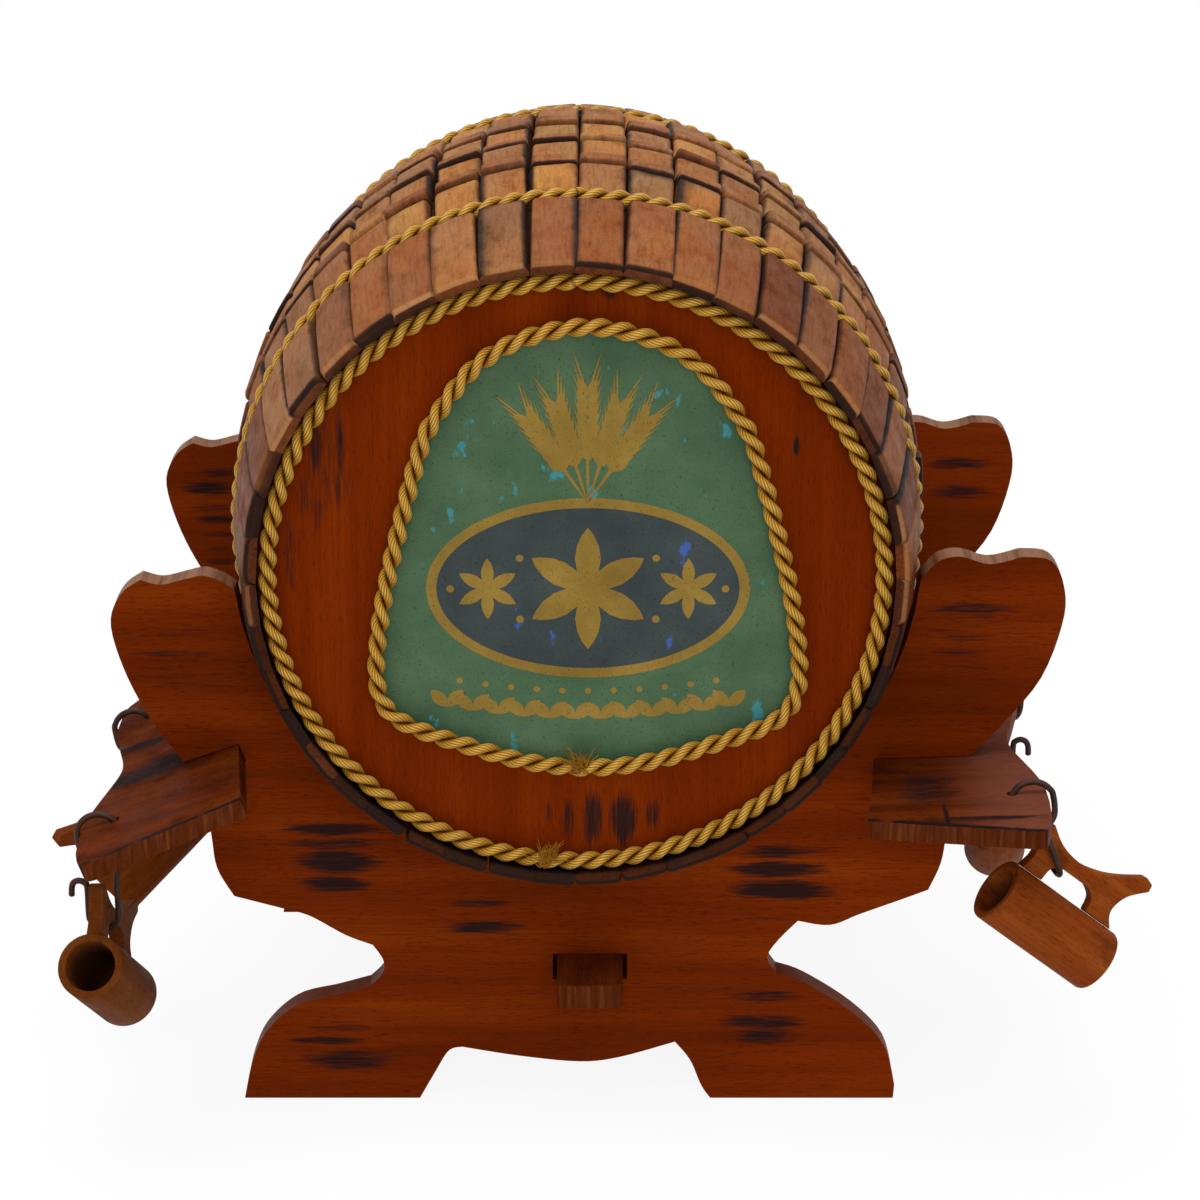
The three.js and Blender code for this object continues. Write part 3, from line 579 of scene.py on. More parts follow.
def stain_tiles():
    """Makes the finish that all the tiles share."""
    finish = Finish("tile_stain", 0.03, LACQUER)
    place = finish.field("tile_place")
    tone, singe, wear_and_highlight = finish.field("tile_marks").split()
    grain = place.cloud(900, (1.0, 0.12, 1.0), 4.0)
    speck_and_glint = place.cloud(2300, (1.0, 0.5, 1.0), 2.0)
    smoke = place.cloud(160, (1.0, 0.6, 1.0), 4.0)
    blush = place.cloud(60, (1.0, 0.7, 1.0), 2.0)
    kind = place.cloud(11, detail=1.0)
    tints = (
        (grain.mask(0.4, 0.75), (0.7, 0.62, 0.58)),
        (speck_and_glint.mask(0.55, 0.7), (0.72, 0.66, 0.62)),
        # Painted glints: the lightest specks are brightened like small sparkles of light; the darker specks
        # are flecks in the wood.
        (speck_and_glint.mask(0.42, 0.3), (1.3, 1.25, 1.2)),
        (smoke.mask(0.48, 0.75), (0.75, 0.68, 0.68)),
        (blush.mask(0.42, 0.62), (0.98, 0.84, 0.74)),
        (kind.mask(0.52, 0.62), (1.1, 1.05, 0.82)),
        (kind.mask(0.46, 0.36), (0.78, 0.84, 0.95)),
    )
    colour = tone.shades(*TILE_TONES)
    for amount, tint in tints:
        colour = amount.mix(colour, tint, "MULTIPLY")
    # Wear and painted highlight: a pale line along the worn edge, also standing in for light caught by the
    # rounded edge.
    colour = (wear_and_highlight * place.cloud(350).mask(0.1, 0.5)).mix(colour, TILE_WORN_HIGHLIGHT)
    colour = (singe + smoke * 0.5).mask(0.4, 1.15).mix(colour, TILE_BURNT)
    return finish.done(colour, smoke.mask(-0.7, 1.7), grain + speck_and_glint, 0.25)


tile_finish = stain_tiles()
print("tiles: finish ready")

# %% [markdown]
# A piece made in code is a list of points and faces. A form collects them, with the fields that
# the points carry. Then it becomes a mesh, Blender finds which way is out, and it is seated on its body.

# %% Make a piece from points and faces
class Form:
    """Points, faces and fields of a piece in the making."""

    def __init__(self, *fields):
        self.points = []
        self.faces = []
        self.fields = {field: [] for field in fields}

    def add(self, spot, *values):
        """Adds a point in metres with a value for each field, and gives its number."""
        self.points.append(spot)
        for field, value in zip(self.fields.values(), values):
            field.append(value)
        return len(self.points) - 1

    def band(self, upper, lower, closed=True):
        """Adds the faces between two rows of points."""
        count = len(upper)
        for index in range(count if closed else count - 1):
            after = (index + 1) % count
            self.faces.append((upper[index], upper[after], lower[after], lower[index]))

    def tube(self, rings, closed=False, mark=None):
        """Adds a tube through rings of points; open ends are capped. mark gives each point's field."""
        rows = []
        for number, ring in enumerate(rings):
            values = [[mark(number, side)] if mark else [] for side in range(len(ring))]
            rows.append([self.add(spot, *value) for spot, value in zip(ring, values)])
        for here, there in zip(rows, rows[1:] + rows[:1] if closed else rows[1:]):
            self.band(here, there)
        if not closed:
            self.faces += [tuple(rows[0]), tuple(rows[-1])]

    def seat(self, name, finish, body, slot, nodes=(), crease=45):
        """Makes a smooth-shaded piece and seats it."""
        mesh = bpy.data.meshes.new(name)
        mesh.from_pydata(self.points, [], self.faces)
        for field, values in self.fields.items():
            layer = mesh.attributes.new(field, "FLOAT_VECTOR", "POINT")
            layer.data.foreach_set("vector", [number for value in values for number in value])
        block = bmesh.new()
        block.from_mesh(mesh)
        bmesh.ops.recalc_face_normals(block, faces=block.faces)
        block.to_mesh(mesh)
        block.free()
        mesh.materials.append(finish)
        smooth_shading(mesh, crease)
        print(name, len(mesh.polygons), "faces")
        return seat(bpy.data.objects.new(name, mesh), body, slot, *nodes)


# %% [markdown]
# Each tile is a small block with eased edges and a slightly domed face, cut and set by hand:
# its width, length, height and tilt vary a little, and some corners are chipped. A bevelled cube
# would look machine-made, so the face is a small grid of points whose height is worked out,
# closely spaced at the edges. The tile stands on the barrel's bulge.

# %% Shape of one tile
BELLY_R = 113.4
END_R = 102.0
TILE_COUNT = 44
TILE_T = 4.0
TILE_SIDE = 1.6
TILE_CREASE = 60
CHIP_CHANCE = 0.3
WORN_LIT_REACH = 1.4
GRAIN_RANGE = 900
ROUGH_HEIGHT = 0.14
ROUGH_SCALE = 0.35
SLOPE_POWER = 1.7
ring_low, ring_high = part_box("front_tile_ring")
rear_low, rear_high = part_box("rear_tile_ring")
MIDDLE_Y = (ring_low.y + rear_high.y) / 2 / MM
HALF_LENGTH = (rear_high.y - ring_low.y) / 2 / MM
TURN = 2 * math.pi / TILE_COUNT
FLAT_SHARE = math.cos(TURN / 2)


def barrel_radius(y):
    """Gives the barrel's outer radius at y, in millimetres."""
    share = (y - MIDDLE_Y) / HALF_LENGTH
    return BELLY_R - (BELLY_R - END_R) * share * share


def edge_stops(length):
    """Gives places across a tile, close together at its eased edges."""
    ease = min(1.3, 0.22 * length)
    near = [0.0, 0.22 * ease, 0.55 * ease, ease, 2 * ease]
    spans = max(1, round((length - 4 * ease) / 6))
    step = (length - 4 * ease) / spans
    between = [2 * ease + step * index for index in range(1, spans)]
    return near + between + [length - stop for stop in reversed(near)]


def eased_drop(distance, ease):
    """Gives how far a rounded edge falls at a distance from it."""
    if distance >= ease:
        return 0.0
    return ease - math.sqrt(ease * ease - (ease - distance) ** 2)


def soft_step(distance, reach):
    """Gives 1 at an edge, falling to 0 at the reach."""
    share = max(0.0, 1 - distance / reach)
    return share * share * (3 - 2 * share)


def lay_tile(form, dice, angle, start, length, width, lift, slope, tone, singed, worn_lit_rear=False):
    """Adds one tile; slope is how far its front lies lower, singed the burn of its four edges."""
    radial = Vector((math.sin(angle), 0, math.cos(angle)))
    tangent = Vector((math.cos(angle), 0, -math.sin(angle)))
    ease = min(1.25, 0.21 * min(width, length))
    crown = dice.uniform(0.1, 0.35)
    tilt_across = dice.uniform(-0.35, 0.35)
    tilt_along = dice.uniform(-0.3, 0.3)
    skew = dice.uniform(-0.5, 0.5)
    reaches = [dice.uniform(1.2, 3.2) * dice.choice((1, 1, 1, 2)) for _ in range(4)]
    grain_start = Vector([dice.uniform(0, GRAIN_RANGE) for _ in range(3)])
    chips = []
    for corner in ((0, 0), (width, 0), (0, length), (width, length)):
        if dice.random() < CHIP_CHANCE:
            chips.append((Vector(corner), dice.uniform(1.0, 2.6), dice.uniform(0.4, 1.3)))
    wear_highlight_amount = dice.uniform(0.2, 1.0)
    end_burn = dice.choice((0.4, 0.55, 0.75, 1.0))

    def spot_at(across, along, height):
        y = start + along + skew * (across / width - 0.5)
        radius = barrel_radius(y) * FLAT_SHARE + height
        return Vector((AXIS_X, y, AXIS_Z)) + radial * radius + tangent * (across - width / 2)

    grid = []
    for along in edge_stops(length):
        row = []
        for across in edge_stops(width):
            edges = (across, width - across, along, length - along)
            height = lift + crown * (1 - (2 * across / width - 1) ** 2)
            height -= eased_drop(min(edges[:2]), ease) + eased_drop(min(edges[2:]), ease)
            height += tilt_across * (across / width - 0.5) + tilt_along * (along / length - 0.5)
            height -= slope * (1 - along / length) ** SLOPE_POWER
            place = grain_start + Vector((across, along, 0))
            height += ROUGH_HEIGHT * noise.noise(place * ROUGH_SCALE)
            broken = 0.0
            for corner, size, depth in chips:
                near = soft_step((Vector((across, along)) - corner).length, size)
                height -= depth * near
                broken = max(broken, near)
            burn = max(amount * soft_step(edge, reach) for amount, edge, reach in zip(singed, edges, reaches))
            burn = max(burn, 0.6 * broken)
            # The edge mark here is part wear, part painted highlight: the front edge of a ring tile, the rear
            # lip of a belly tile.
            worn_and_lit = wear_highlight_amount * soft_step(length - along if worn_lit_rear else along, WORN_LIT_REACH)
            worn_and_lit *= 1 - singed[3 if worn_lit_rear else 2]
            row.append(form.add(spot_at(across, along, height) * MM, place * MM, (tone, burn, worn_and_lit)))
        grid.append(row)
    for front_row, rear_row in zip(grid, grid[1:]):
        form.band(front_row, rear_row, False)
    rim = grid[0] + [row[-1] for row in grid[1:]] + grid[-1][-2::-1] + [row[0] for row in grid[-2:0:-1]]
    upper = rim
    for depth, dark in ((TILE_SIDE, 0.7 * end_burn), (TILE_T - 0.1, end_burn)):
        ring = []
        for index in rim:
            across, along, _ = form.fields["tile_place"][index] / MM - grain_start
            above = (form.points[index] / MM - spot_at(across, along, 0)).dot(radial)
            lower = min(-depth, above - 0.4)
            place = grain_start + Vector((across, along, lower))
            ring.append(form.add(spot_at(across, along, lower) * MM, place * MM, (0.4 * tone, dark, 0.0)))
        form.band(upper, ring)
        upper = ring
    form.faces.append(tuple(upper))


print("barrel: axis at", round(AXIS_X, 2), round(AXIS_Z, 2), "length", round(2 * HALF_LENGTH, 1))

# %% [markdown]
# A ring of long tiles closes each end of the barrel, and seven courses of short ones lie between,
# wide faces and narrow ridges in turn. The columns line up round the barrel, but the seams between
# courses wander from column to column. Each course is one piece, as in the frame.

# %% Lay the two end rings
ANGLE_SLIP = 0.012
PAINTED_TOP_LIGHT = 0.38
RING_TONE = 0.19
WIDE_TONE = 0.44
RIDGE_TONE = 0.28


def new_course():
    """Starts the form of one course of tiles."""
    return Form("tile_place", "tile_marks")


def column_angle(dice, column):
    """Chooses the direction in which a column of tiles lies."""
    return TURN * (column + 0.5) + dice.uniform(-ANGLE_SLIP, ANGLE_SLIP)


def tile_width(start, length, gap):
    """Gives the width of a tile that fills its column but for a gap."""
    return TURN * barrel_radius(start + length / 2) * FLAT_SHARE - gap


def singe_edges(dice, front, rear):
    """Chooses how strongly the four edges of a tile are singed."""
    sides = [dice.choice((0.3, 0.5, 0.6, 0.7, 0.9, 1.0)) for _ in range(2)]
    return (*sides, front, rear)


def tone_with_painted_light(dice, angle, side_tone):
    """Chooses a tile's tone with painted light: tiles facing up are painted lightest and those underneath
    darkest, with a random spread of their own.
    """
    # Painted light: the mean tone rises as the tile faces up; the random spread is the wood's own tone.
    mean = side_tone + PAINTED_TOP_LIGHT * math.cos(angle)
    return min(1.0, max(0.0, dice.gauss(mean, 0.1) + dice.choice((0, 0, 0, 0, 0.25))))


def lay_ring(name, node, low, high, seed):
    """Lays one end ring of long tiles."""
    dice = random.Random(seed)
    form = new_course()
    for column in range(TILE_COUNT):
        angle = column_angle(dice, column)
        start = low.y / MM + dice.uniform(0, 1.0)
        length = high.y / MM - start - dice.uniform(0, 0.8)
        width = tile_width(start, length, dice.uniform(0.25, 0.8))
        tone = tone_with_painted_light(dice, angle, RING_TONE)
        burnt_front = dice.choice((0.0, 0.0, 0.2, 0.6, 0.9)) if math.cos(angle) > -0.2 else 1.0
        singed = singe_edges(dice, burnt_front, dice.uniform(0.4, 1.0))
        lay_tile(form, dice, angle, start, length, width, dice.uniform(-0.6, 0.2), 0.0, tone, singed)
    form.seat(name, tile_finish, "barrel", "tile_wood", (node,), TILE_CREASE)


lay_ring("front_ring_tiles", "front_tile_ring", ring_low, ring_high, 11)
lay_ring("rear_ring_tiles", "rear_tile_ring", rear_low, rear_high, 12)

# %% Lay the seven belly courses
COURSES = [f"belly_tile_course_{number}" for number in range(1, 8)]
course_boxes = [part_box(course) for course in COURSES]
seams = [course_boxes[0][0].y / MM]
for before, after in zip(course_boxes, course_boxes[1:]):
    seams.append((before[1].y + after[0].y) / 2 / MM)
seams.append(course_boxes[-1][1].y / MM)

dice = random.Random(5)
forms = [new_course() for _ in COURSES]
for column in range(TILE_COUNT):
    angle = column_angle(dice, column)
    wander = dice.uniform(-2.6, 2.6)
    column_lift = dice.uniform(-0.7, 0.4)
    places = [seams[0] + dice.uniform(0, 0.8)]
    places += [seam + wander + dice.uniform(-0.9, 0.9) for seam in seams[1:-1]]
    places.append(seams[-1] - dice.uniform(0, 0.8))
    for course, form in enumerate(forms):
        ridge = course % 2 == 1
        start = places[course] + dice.uniform(0.3, 0.8)
        length = places[course + 1] - start - dice.uniform(0.3, 0.8)
        width = tile_width(start, length, dice.uniform(0.8, 1.5))
        tone = tone_with_painted_light(dice, angle, RIDGE_TONE if ridge else WIDE_TONE)
        if ridge:
            singed = (0.5, 0.5, dice.uniform(0.4, 1.0), dice.uniform(0.5, 1.0))
            lift = column_lift + dice.uniform(0.8, 1.5)
            slope = 0.3
        else:
            singed = singe_edges(dice, dice.uniform(0.6, 1.0), dice.uniform(0.2, 0.9))
            lift = column_lift + dice.uniform(-0.3, 0.3)
            slope = dice.uniform(1.8, 3.0)
        lay_tile(form, dice, angle, start, length, width, lift, slope, tone, singed, True)
for course, form in zip(COURSES, forms):
    name = course.replace("belly_tile_course", "belly_tiles")
    form.seat(name, tile_finish, "barrel", "tile_wood", (course,), TILE_CREASE)

# %% [markdown]
# Under the tiles is a plain drum, which shows only as dark lines in the gaps between them and
# as the dark wall behind the head. It keeps the frame's own mesh and gets a near-black beech finish,
# which paints the shade in those gaps.

# %% Drum under the tiles
# Painted shade: the drum is near black so that the gaps between tiles read dark.
GAP_SHADE_WOOD = ((0.02, 0.008, 0.004), (0.032, 0.013, 0.006), (0.05, 0.021, 0.01))


def shade_drum():
    """Makes the drum's near-black finish, which paints the shade in the gaps between the tiles."""
    finish = Finish("drum_gap_shade", 0.1)
    colour, height = beech(finish.coords(), 1, *GAP_SHADE_WOOD)
    return finish.done(colour, height.mask(-2.0, 0.8), height, 0.1)


def repaint(node, finish):
    """Gives a node that keeps its own mesh a new finish."""
    materials = frame["nodes"][node].data.materials
    materials.clear()
    materials.append(finish)


repaint("barrel_drum", shade_drum())
print("drum: finish set")

# %% [markdown]
# The cords are golden furnishing cord of two strands, laid to the left and glued down.
# Each strand is a bundle of shiny yarns that run along the cord. A picture of twist on a plain tube
# would lose the scalloped outline, so each strand is a tube on its own helix, and the finish draws
# the yarns on it, with a painted highlight on each strand's crown and painted shade in the grooves and
# valleys.

# %% Finish of the cords
YARNS = 9.0
YARN_SLANT = -1320.0
GOLD = ((0.3, (0.36, 0.16, 0.012)), (0.5, (0.44, 0.215, 0.02)), (0.7, (0.52, 0.28, 0.035)))
GOLD_SHEEN = (1.0, 0.6, 0.15, 1.0)
GOLD_CROWN_HIGHLIGHT = (0.6, 0.37, 0.09)
GOLD_GROOVE_SHADE = (0.2, 0.075, 0.004)
GOLD_VALLEY_SHADE = (0.075, 0.015, 0.0006)


def gild_cords():
    """Makes the finish of the cords, with a painted highlight on the crown of a strand, painted shade in the
    yarn grooves and painted shade where two strands meet.
    """
    finish = Finish("gold_cord", 0.3, GOLD_SHEEN)
    around, along, _ = finish.field("yarn").split()
    turn = (around * YARNS + along * YARN_SLANT) * (2 * math.pi)
    groove = reckon(finish.tree, "SINE", turn).mask(0.0, 1.0)
    inward = reckon(finish.tree, "ABSOLUTE", around - 0.5)
    colour = finish.coords().cloud(130, detail=4.0).shades(*GOLD)
    # Painted highlight on the crown of each strand.
    colour = (inward.mask(0.2, 0.0) * 0.6).mix(colour, GOLD_CROWN_HIGHLIGHT)
    # Painted shade in the grooves between the yarns.
    colour = (groove * 0.75).mix(colour, GOLD_GROOVE_SHADE)
    # Painted shade in the valley where two strands meet.
    colour = (inward.mask(0.2, 0.38) * 0.9).mix(colour, GOLD_VALLEY_SHADE)
    return finish.done(colour, 0.36, 1.0 - groove, 0.3)


cord_finish = gild_cords()
print("cord: finish of", int(YARNS), "yarns a strand")

# %% Twist the strands into a cord
CORD_R = 2.9
STRANDS = 2
STRAND_R = 1.45
LAY_R = CORD_R - STRAND_R
HOOP_LAY = 13.2
HEAD_LAY = 14.0
LABEL_LAY = 14.2
STEPS_A_TURN = 20
STRAND_SIDES = 12
CORD_CREASE = 80


def sweep(path, radii, sides, outward=None, closed=False):
    """Gives the rings of a tube along points; outward may give where each ring starts."""
    count = len(path)
    rings = []
    aim = None
    for index, (spot, radius) in enumerate(zip(path, radii)):
        ahead = path[(index + 1) % count] if closed or index + 1 < count else spot
        behind = path[index - 1] if closed or index else spot
        tangent = (ahead - behind).normalized()
        if outward:
            aim = outward[index]
        elif aim is None:
            aim = tangent.orthogonal()
        aim = (aim - tangent * aim.dot(tangent)).normalized()
        across = tangent.cross(aim)
        turns = [2 * math.pi * side / sides for side in range(sides)]
        rings.append([spot + (aim * math.cos(turn) + across * math.sin(turn)) * radius for turn in turns])
    return rings


def twist_cord(name, node, track, length, lay):
    """Twists a closed cord with a turn every lay millimetres; track(share) gives a place and the way out."""
    turns = round(length / lay)
    steps = turns * STEPS_A_TURN
    spots = [track(index / steps) for index in range(steps)]
    form = Form("yarn")
    for strand in range(STRANDS):
        path = []
        inward = []
        for index, (spot, out) in enumerate(spots):
            ahead = spots[(index + 1) % steps][0]
            tangent = (ahead - spots[index - 1][0]).normalized()
            across = tangent.cross(out).normalized()
            turn = -2 * math.pi * (turns * index / steps + strand / STRANDS)
            arm = out * math.cos(turn) + across * math.sin(turn)
            path.append(spot + arm * LAY_R * MM)
            inward.append(-arm)

        def yarn(index, side):
            return side / STRAND_SIDES, length * index / steps * MM, strand

        form.tube(sweep(path, [STRAND_R * MM] * steps, STRAND_SIDES, inward, True), True, yarn)
    form.seat(name, cord_finish, "barrel", "cord", (node,), CORD_CREASE)


def hoop_cord(name, node, way, lay):
    """Twists a round cord; way is the barrel's axis direction it is glued to, or 0 for round the outside."""
    low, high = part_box(node)
    centre = (low + high) / 2
    radius = (high.x - low.x) / 2 - CORD_R * MM

    def track(share):
        turn = 2 * math.pi * share
        arm = Vector((math.sin(turn), 0, math.cos(turn)))
        return centre + arm * radius, (Vector((0, way, 0)) if way else arm)

    twist_cord(name, node, track, 2 * math.pi * radius / MM, lay)


hoop_cord("front_hoop_twist", "front_hoop_cord", 0, HOOP_LAY)
hoop_cord("rear_hoop_twist", "rear_hoop_cord", 0, HOOP_LAY)
hoop_cord("front_head_twist", "front_head_cord", -1, HEAD_LAY)
hoop_cord("rear_head_twist", "rear_head_cord", 1, HEAD_LAY)

# %% [markdown]
# The cord round the label follows a rounded bell shape, wide at the foot. Half of the outline
# is given as shares of its width and height, mirrored, and smoothed through all its points.

# %% Twist the label cord
LABEL_HALF = ((0, 0), (0.29, 0.014), (0.59, 0.054), (0.87, 0.104), (0.98, 0.16), (1, 0.254), (0.94, 0.437),
              (0.79, 0.707), (0.71, 0.795), (0.52, 0.911), (0.29, 0.974), (0, 1))
LABEL_STEPS = 12
label_low, label_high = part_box("label_cord")
label_centre = (label_low + label_high) / 2
label_width = (label_high.x - label_low.x) / 2 - CORD_R * MM
label_foot = label_low.z + CORD_R * MM
label_rise = label_high.z - label_low.z - 2 * CORD_R * MM


def curve_point(before, start, end, after, share):
    """Gives a point between start and end on a smooth curve through all four."""
    square = share * share
    cube = square * share
    bend = (before * 2 - start * 5 + end * 4 - after) * square
    twist = (start * 3 - before - end * 3 + after) * cube
    return (start * 2 + (end - before) * share + bend + twist) * 0.5


def smooth_path(knots, steps, closed=False):
    """Gives points on a smooth curve through the knots."""
    ends = [knots[-1], *knots, *knots[:2]] if closed else [knots[0], *knots, knots[-1]]
    fine = []
    for index in range(len(ends) - 3):
        fine += [curve_point(*ends[index:index + 4], step / steps) for step in range(steps)]
    return fine if closed else fine + [knots[-1]]


def even_track(loop):
    """Gives a function from a share of a loop's length to a place on it, and its length."""
    marks = [0.0]
    for spot, after in zip(loop, loop[1:] + loop[:1]):
        marks.append(marks[-1] + (after - spot).length)

    def place(share):
        goal = share * marks[-1]
        index = next(number for number, mark in enumerate(marks[1:]) if mark >= goal)
        rest = (goal - marks[index]) / (marks[index + 1] - marks[index])
        return loop[index].lerp(loop[(index + 1) % len(loop)], rest)

    return place, marks[-1]


label_shares = list(LABEL_HALF) + [(-across, up) for across, up in LABEL_HALF[-2:0:-1]]
label_knots = [Vector((label_centre.x + across * label_width, label_centre.y, label_foot + up * label_rise))
               for across, up in label_shares]
label_place, label_length = even_track(smooth_path(label_knots, LABEL_STEPS, True))


def label_track(share):
    """Gives a place on the label's border and the way out of the head."""
    return label_place(share), Vector((0, -1, 0))


twist_cord("label_twist", "label_cord", label_track, label_length / MM, LABEL_LAY)

# %% [markdown]
# Where a cord's two cut ends meet, at the foot of the head and of the label, its yarns spring
# loose. A tuft of thin tapering hairs at each place shows the joint as it is.

# %% Fray the cord ends
HAIRS = 80
HAIR_SIDES = 5
HAIR_SHARES = (0, 0.25, 0.5, 0.75, 1)
HAIR_RADII = [0.2 * MM, 0.2 * MM, 0.17 * MM, 0.12 * MM, 0.06 * MM]


def fray(name, centre, spread, slant, seed):
    """Adds a tuft of loose yarn ends, slanting to one side, at a place on the front head."""
    dice = random.Random(seed)
    form = Form("yarn")
    for _ in range(HAIRS):
        start = Vector((dice.uniform(-2.2, 2.2), dice.uniform(-2.8, -1.5), dice.uniform(-1.5, 2.4)))
        root = centre + start * MM
        reach = dice.uniform(0.4, 1.0) * spread
        lean = Vector((dice.gauss(slant, 0.45), dice.uniform(-0.3, 0.15), dice.uniform(0.35, 1.0)))
        lean.normalize()
        bend = Vector((dice.uniform(-0.4, 0.4), dice.uniform(-0.1, 0.2), dice.uniform(-0.5, 0.2)))
        path = [root + (lean * share + bend * share * share) * reach * MM for share in HAIR_SHARES]
        form.tube(sweep(path, HAIR_RADII, HAIR_SIDES), False, lambda ring, side: (0.25, 0.0, 0.0))
    form.seat(name, cord_finish, "barrel", "cord", (), CORD_CREASE)


head_cord_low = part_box("front_head_cord")[0]
head_join = Vector(((AXIS_X - 10.1) * MM, head_cord_low.y + CORD_R * MM, head_cord_low.z + CORD_R * MM))
label_join = Vector(((AXIS_X + 1.1) * MM, label_low.y + CORD_R * MM, label_foot))
fray("head_cord_fray", head_join, 8.5, 0.25, 3)
fray("label_cord_fray", label_join, 6.5, -0.2, 4)

# %% [markdown]
# Inside the cord is a sheet of printed tin, green with gold and dark blue. Lacquered tin has a smooth
# sheen, a slight unevenness of print, and pale blue scuffs where the ink is rubbed through.

# %% Finishes of the printed tin
def tin_finish(name, dark, light, scuff, scuff_from):
    """Makes one printed colour on tin, with scuffs above a level of noise."""
    finish = Finish(name, 0.12)
    place = finish.coords()
    uneven = place.cloud(45, detail=4.0)
    rub = place.cloud(120, grain_stretch(2, 0.6), 5.0)
    colour = uneven.shades((0.3, dark), (0.7, light))
    colour = place.cloud(1900, detail=1.0).mask(0.62, 0.75).mix(colour, [0.55 * part for part in dark])
    colour = rub.mask(scuff_from, scuff_from + 0.05).mix(colour, scuff)
    return finish.done(colour, rub.mask(-0.4, 1.6), uneven, 0.25)


green_tin = tin_finish("green_tin", (0.04, 0.087, 0.042), (0.07, 0.128, 0.062), (0.04, 0.2, 0.22), 0.63)
blue_print = tin_finish("blue_print", (0.026, 0.034, 0.036), (0.045, 0.058, 0.056), (0.04, 0.09, 0.3), 0.64)
gold_print = tin_finish("gold_print", (0.17, 0.1, 0.014), (0.27, 0.17, 0.03), (0.1, 0.07, 0.02), 0.68)
repaint("label_panel", green_tin)
print("tin: 3 colours")

# %% [markdown]
# The print is an ornament of old country motifs: a wide oval with a rosette drawn by compass between
# two small ones, a sheaf of barley above it, and a garland of leaves below. Ink could be a shader,
# but flat inlays a few hundredths of a millimetre thick keep crisp outlines.

# %% Draw the ornament
LABEL_X = label_centre.x / MM
INK_STEP = 0.0008
INK_CREASE = 30
OVAL_Z = 191.0
SHEAF_Z = 219
GARLAND_Z = 147.5
BERRY_Z = 157
GARLAND_SAG = 0.0022
LEAF_SHARES = (0, 0.12, 0.3, 0.5, 0.7, 0.88, 1, 0.88, 0.7, 0.5, 0.3, 0.12)
label_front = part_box("label_panel")[0].y


def oval(x, z, half_x, half_z, sides=72):
    """Gives the outline of an oval."""
    turns = [2 * math.pi * side / sides for side in range(sides)]
    return [(x + half_x * math.cos(turn), z + half_z * math.sin(turn)) for turn in turns]


def dot(x, z, radius):
    """Gives the outline of a small dot."""
    return oval(x, z, radius, radius, 14)


def leaf(x, z, length, half, turn):
    """Gives a pointed leaf that starts at a place and runs in a direction."""
    outline = []
    for share in LEAF_SHARES:
        side = 1 if len(outline) <= 6 else -1
        across = side * half * math.sin(math.pi * share) ** 0.8 if 0 < share < 1 else 0.0
        outline.append((x + length * share * math.cos(turn) - across * math.sin(turn),
                        z + length * share * math.sin(turn) + across * math.cos(turn)))
    return outline[::-1]


def rosette(x, z, radius):
    """Gives six petals about a centre, as a compass draws them."""
    return [leaf(x, z, radius, radius * 0.2, math.radians(90 + 60 * petal)) for petal in range(6)]


def barley(x, z, lean, length):
    """Gives an ear of barley: a stalk, two rows of grains and long thin beards."""
    aim = math.radians(90 + lean)
    shapes = [leaf(x, z, length * 0.72, 0.55, aim)]
    for row in range(7):
        share = 0.36 + 0.09 * row
        root_x = x + length * share * math.cos(aim)
        root_z = z + length * share * math.sin(aim)
        for side in (-1, 1):
            shapes.append(leaf(root_x, root_z, 6.2, 1.35, aim + side * 0.5))
            shapes.append(leaf(root_x, root_z, 14.5, 0.3, aim + side * 0.3))
    return shapes


def inlay(name, outlines, thickness, finish):
    """Makes flat inlays on the tin's front, in millimetres about the label's middle."""
    form = Form()
    for number, outline in enumerate(outlines):
        rows = []
        for depth in (thickness + INK_STEP * number, 0.0):
            y = label_front - depth * MM
            rows.append([form.add(((LABEL_X + x) * MM, y, z * MM)) for x, z in outline])
        form.faces += [tuple(rows[0]), tuple(rows[1][::-1])]
        form.band(*rows)
    form.seat(name, finish, "barrel", "printed_tin", (), INK_CREASE)


def garland_z(x, height):
    """Gives the height of the hanging garland at a place across the label."""
    return height + GARLAND_SAG * x * x


garland = [leaf(x, garland_z(x, GARLAND_Z), 7.5, 2.1, math.radians(turn))
           for x in range(-44, 45, 8) for turn in (48, 132)]
berries = [dot(x, garland_z(x, BERRY_Z), 1.0) for x in range(-40, 41, 8)]
side_dots = [dot(side * across, OVAL_Z + up, 1.2)
             for side in (-1, 1) for across, up in ((21, 10), (21, -10), (42.5, 0))]
ears = [shape for lean in (-34, -17, 0, 17, 34) for shape in barley(0, SHEAF_Z, lean, 34 if lean else 38)]
flowers = rosette(0, OVAL_Z, 20) + rosette(-31, OVAL_Z, 10) + rosette(31, OVAL_Z, 10)
inlay("oval_rim", [oval(0, OVAL_Z, 50, 29.5)], 0.03, gold_print)
inlay("oval_field", [oval(0, OVAL_Z, 46.8, 26.3)], 0.06, blue_print)
inlay("oval_flowers", flowers + side_dots, 0.09, gold_print)
inlay("barley_sheaf", ears, 0.03, gold_print)
inlay("leaf_garland", garland + berries, 0.03, gold_print)

# %% [markdown]
# The hooks are soft iron wire, browned with age. A loop passes through a hole in the plank, and the lower
# bend holds the mug and ends in a small curl. A curve object would do, but the joint needs the loop
# exactly about the hole, so the path is worked out from the joint's own place and a tube swept along it.

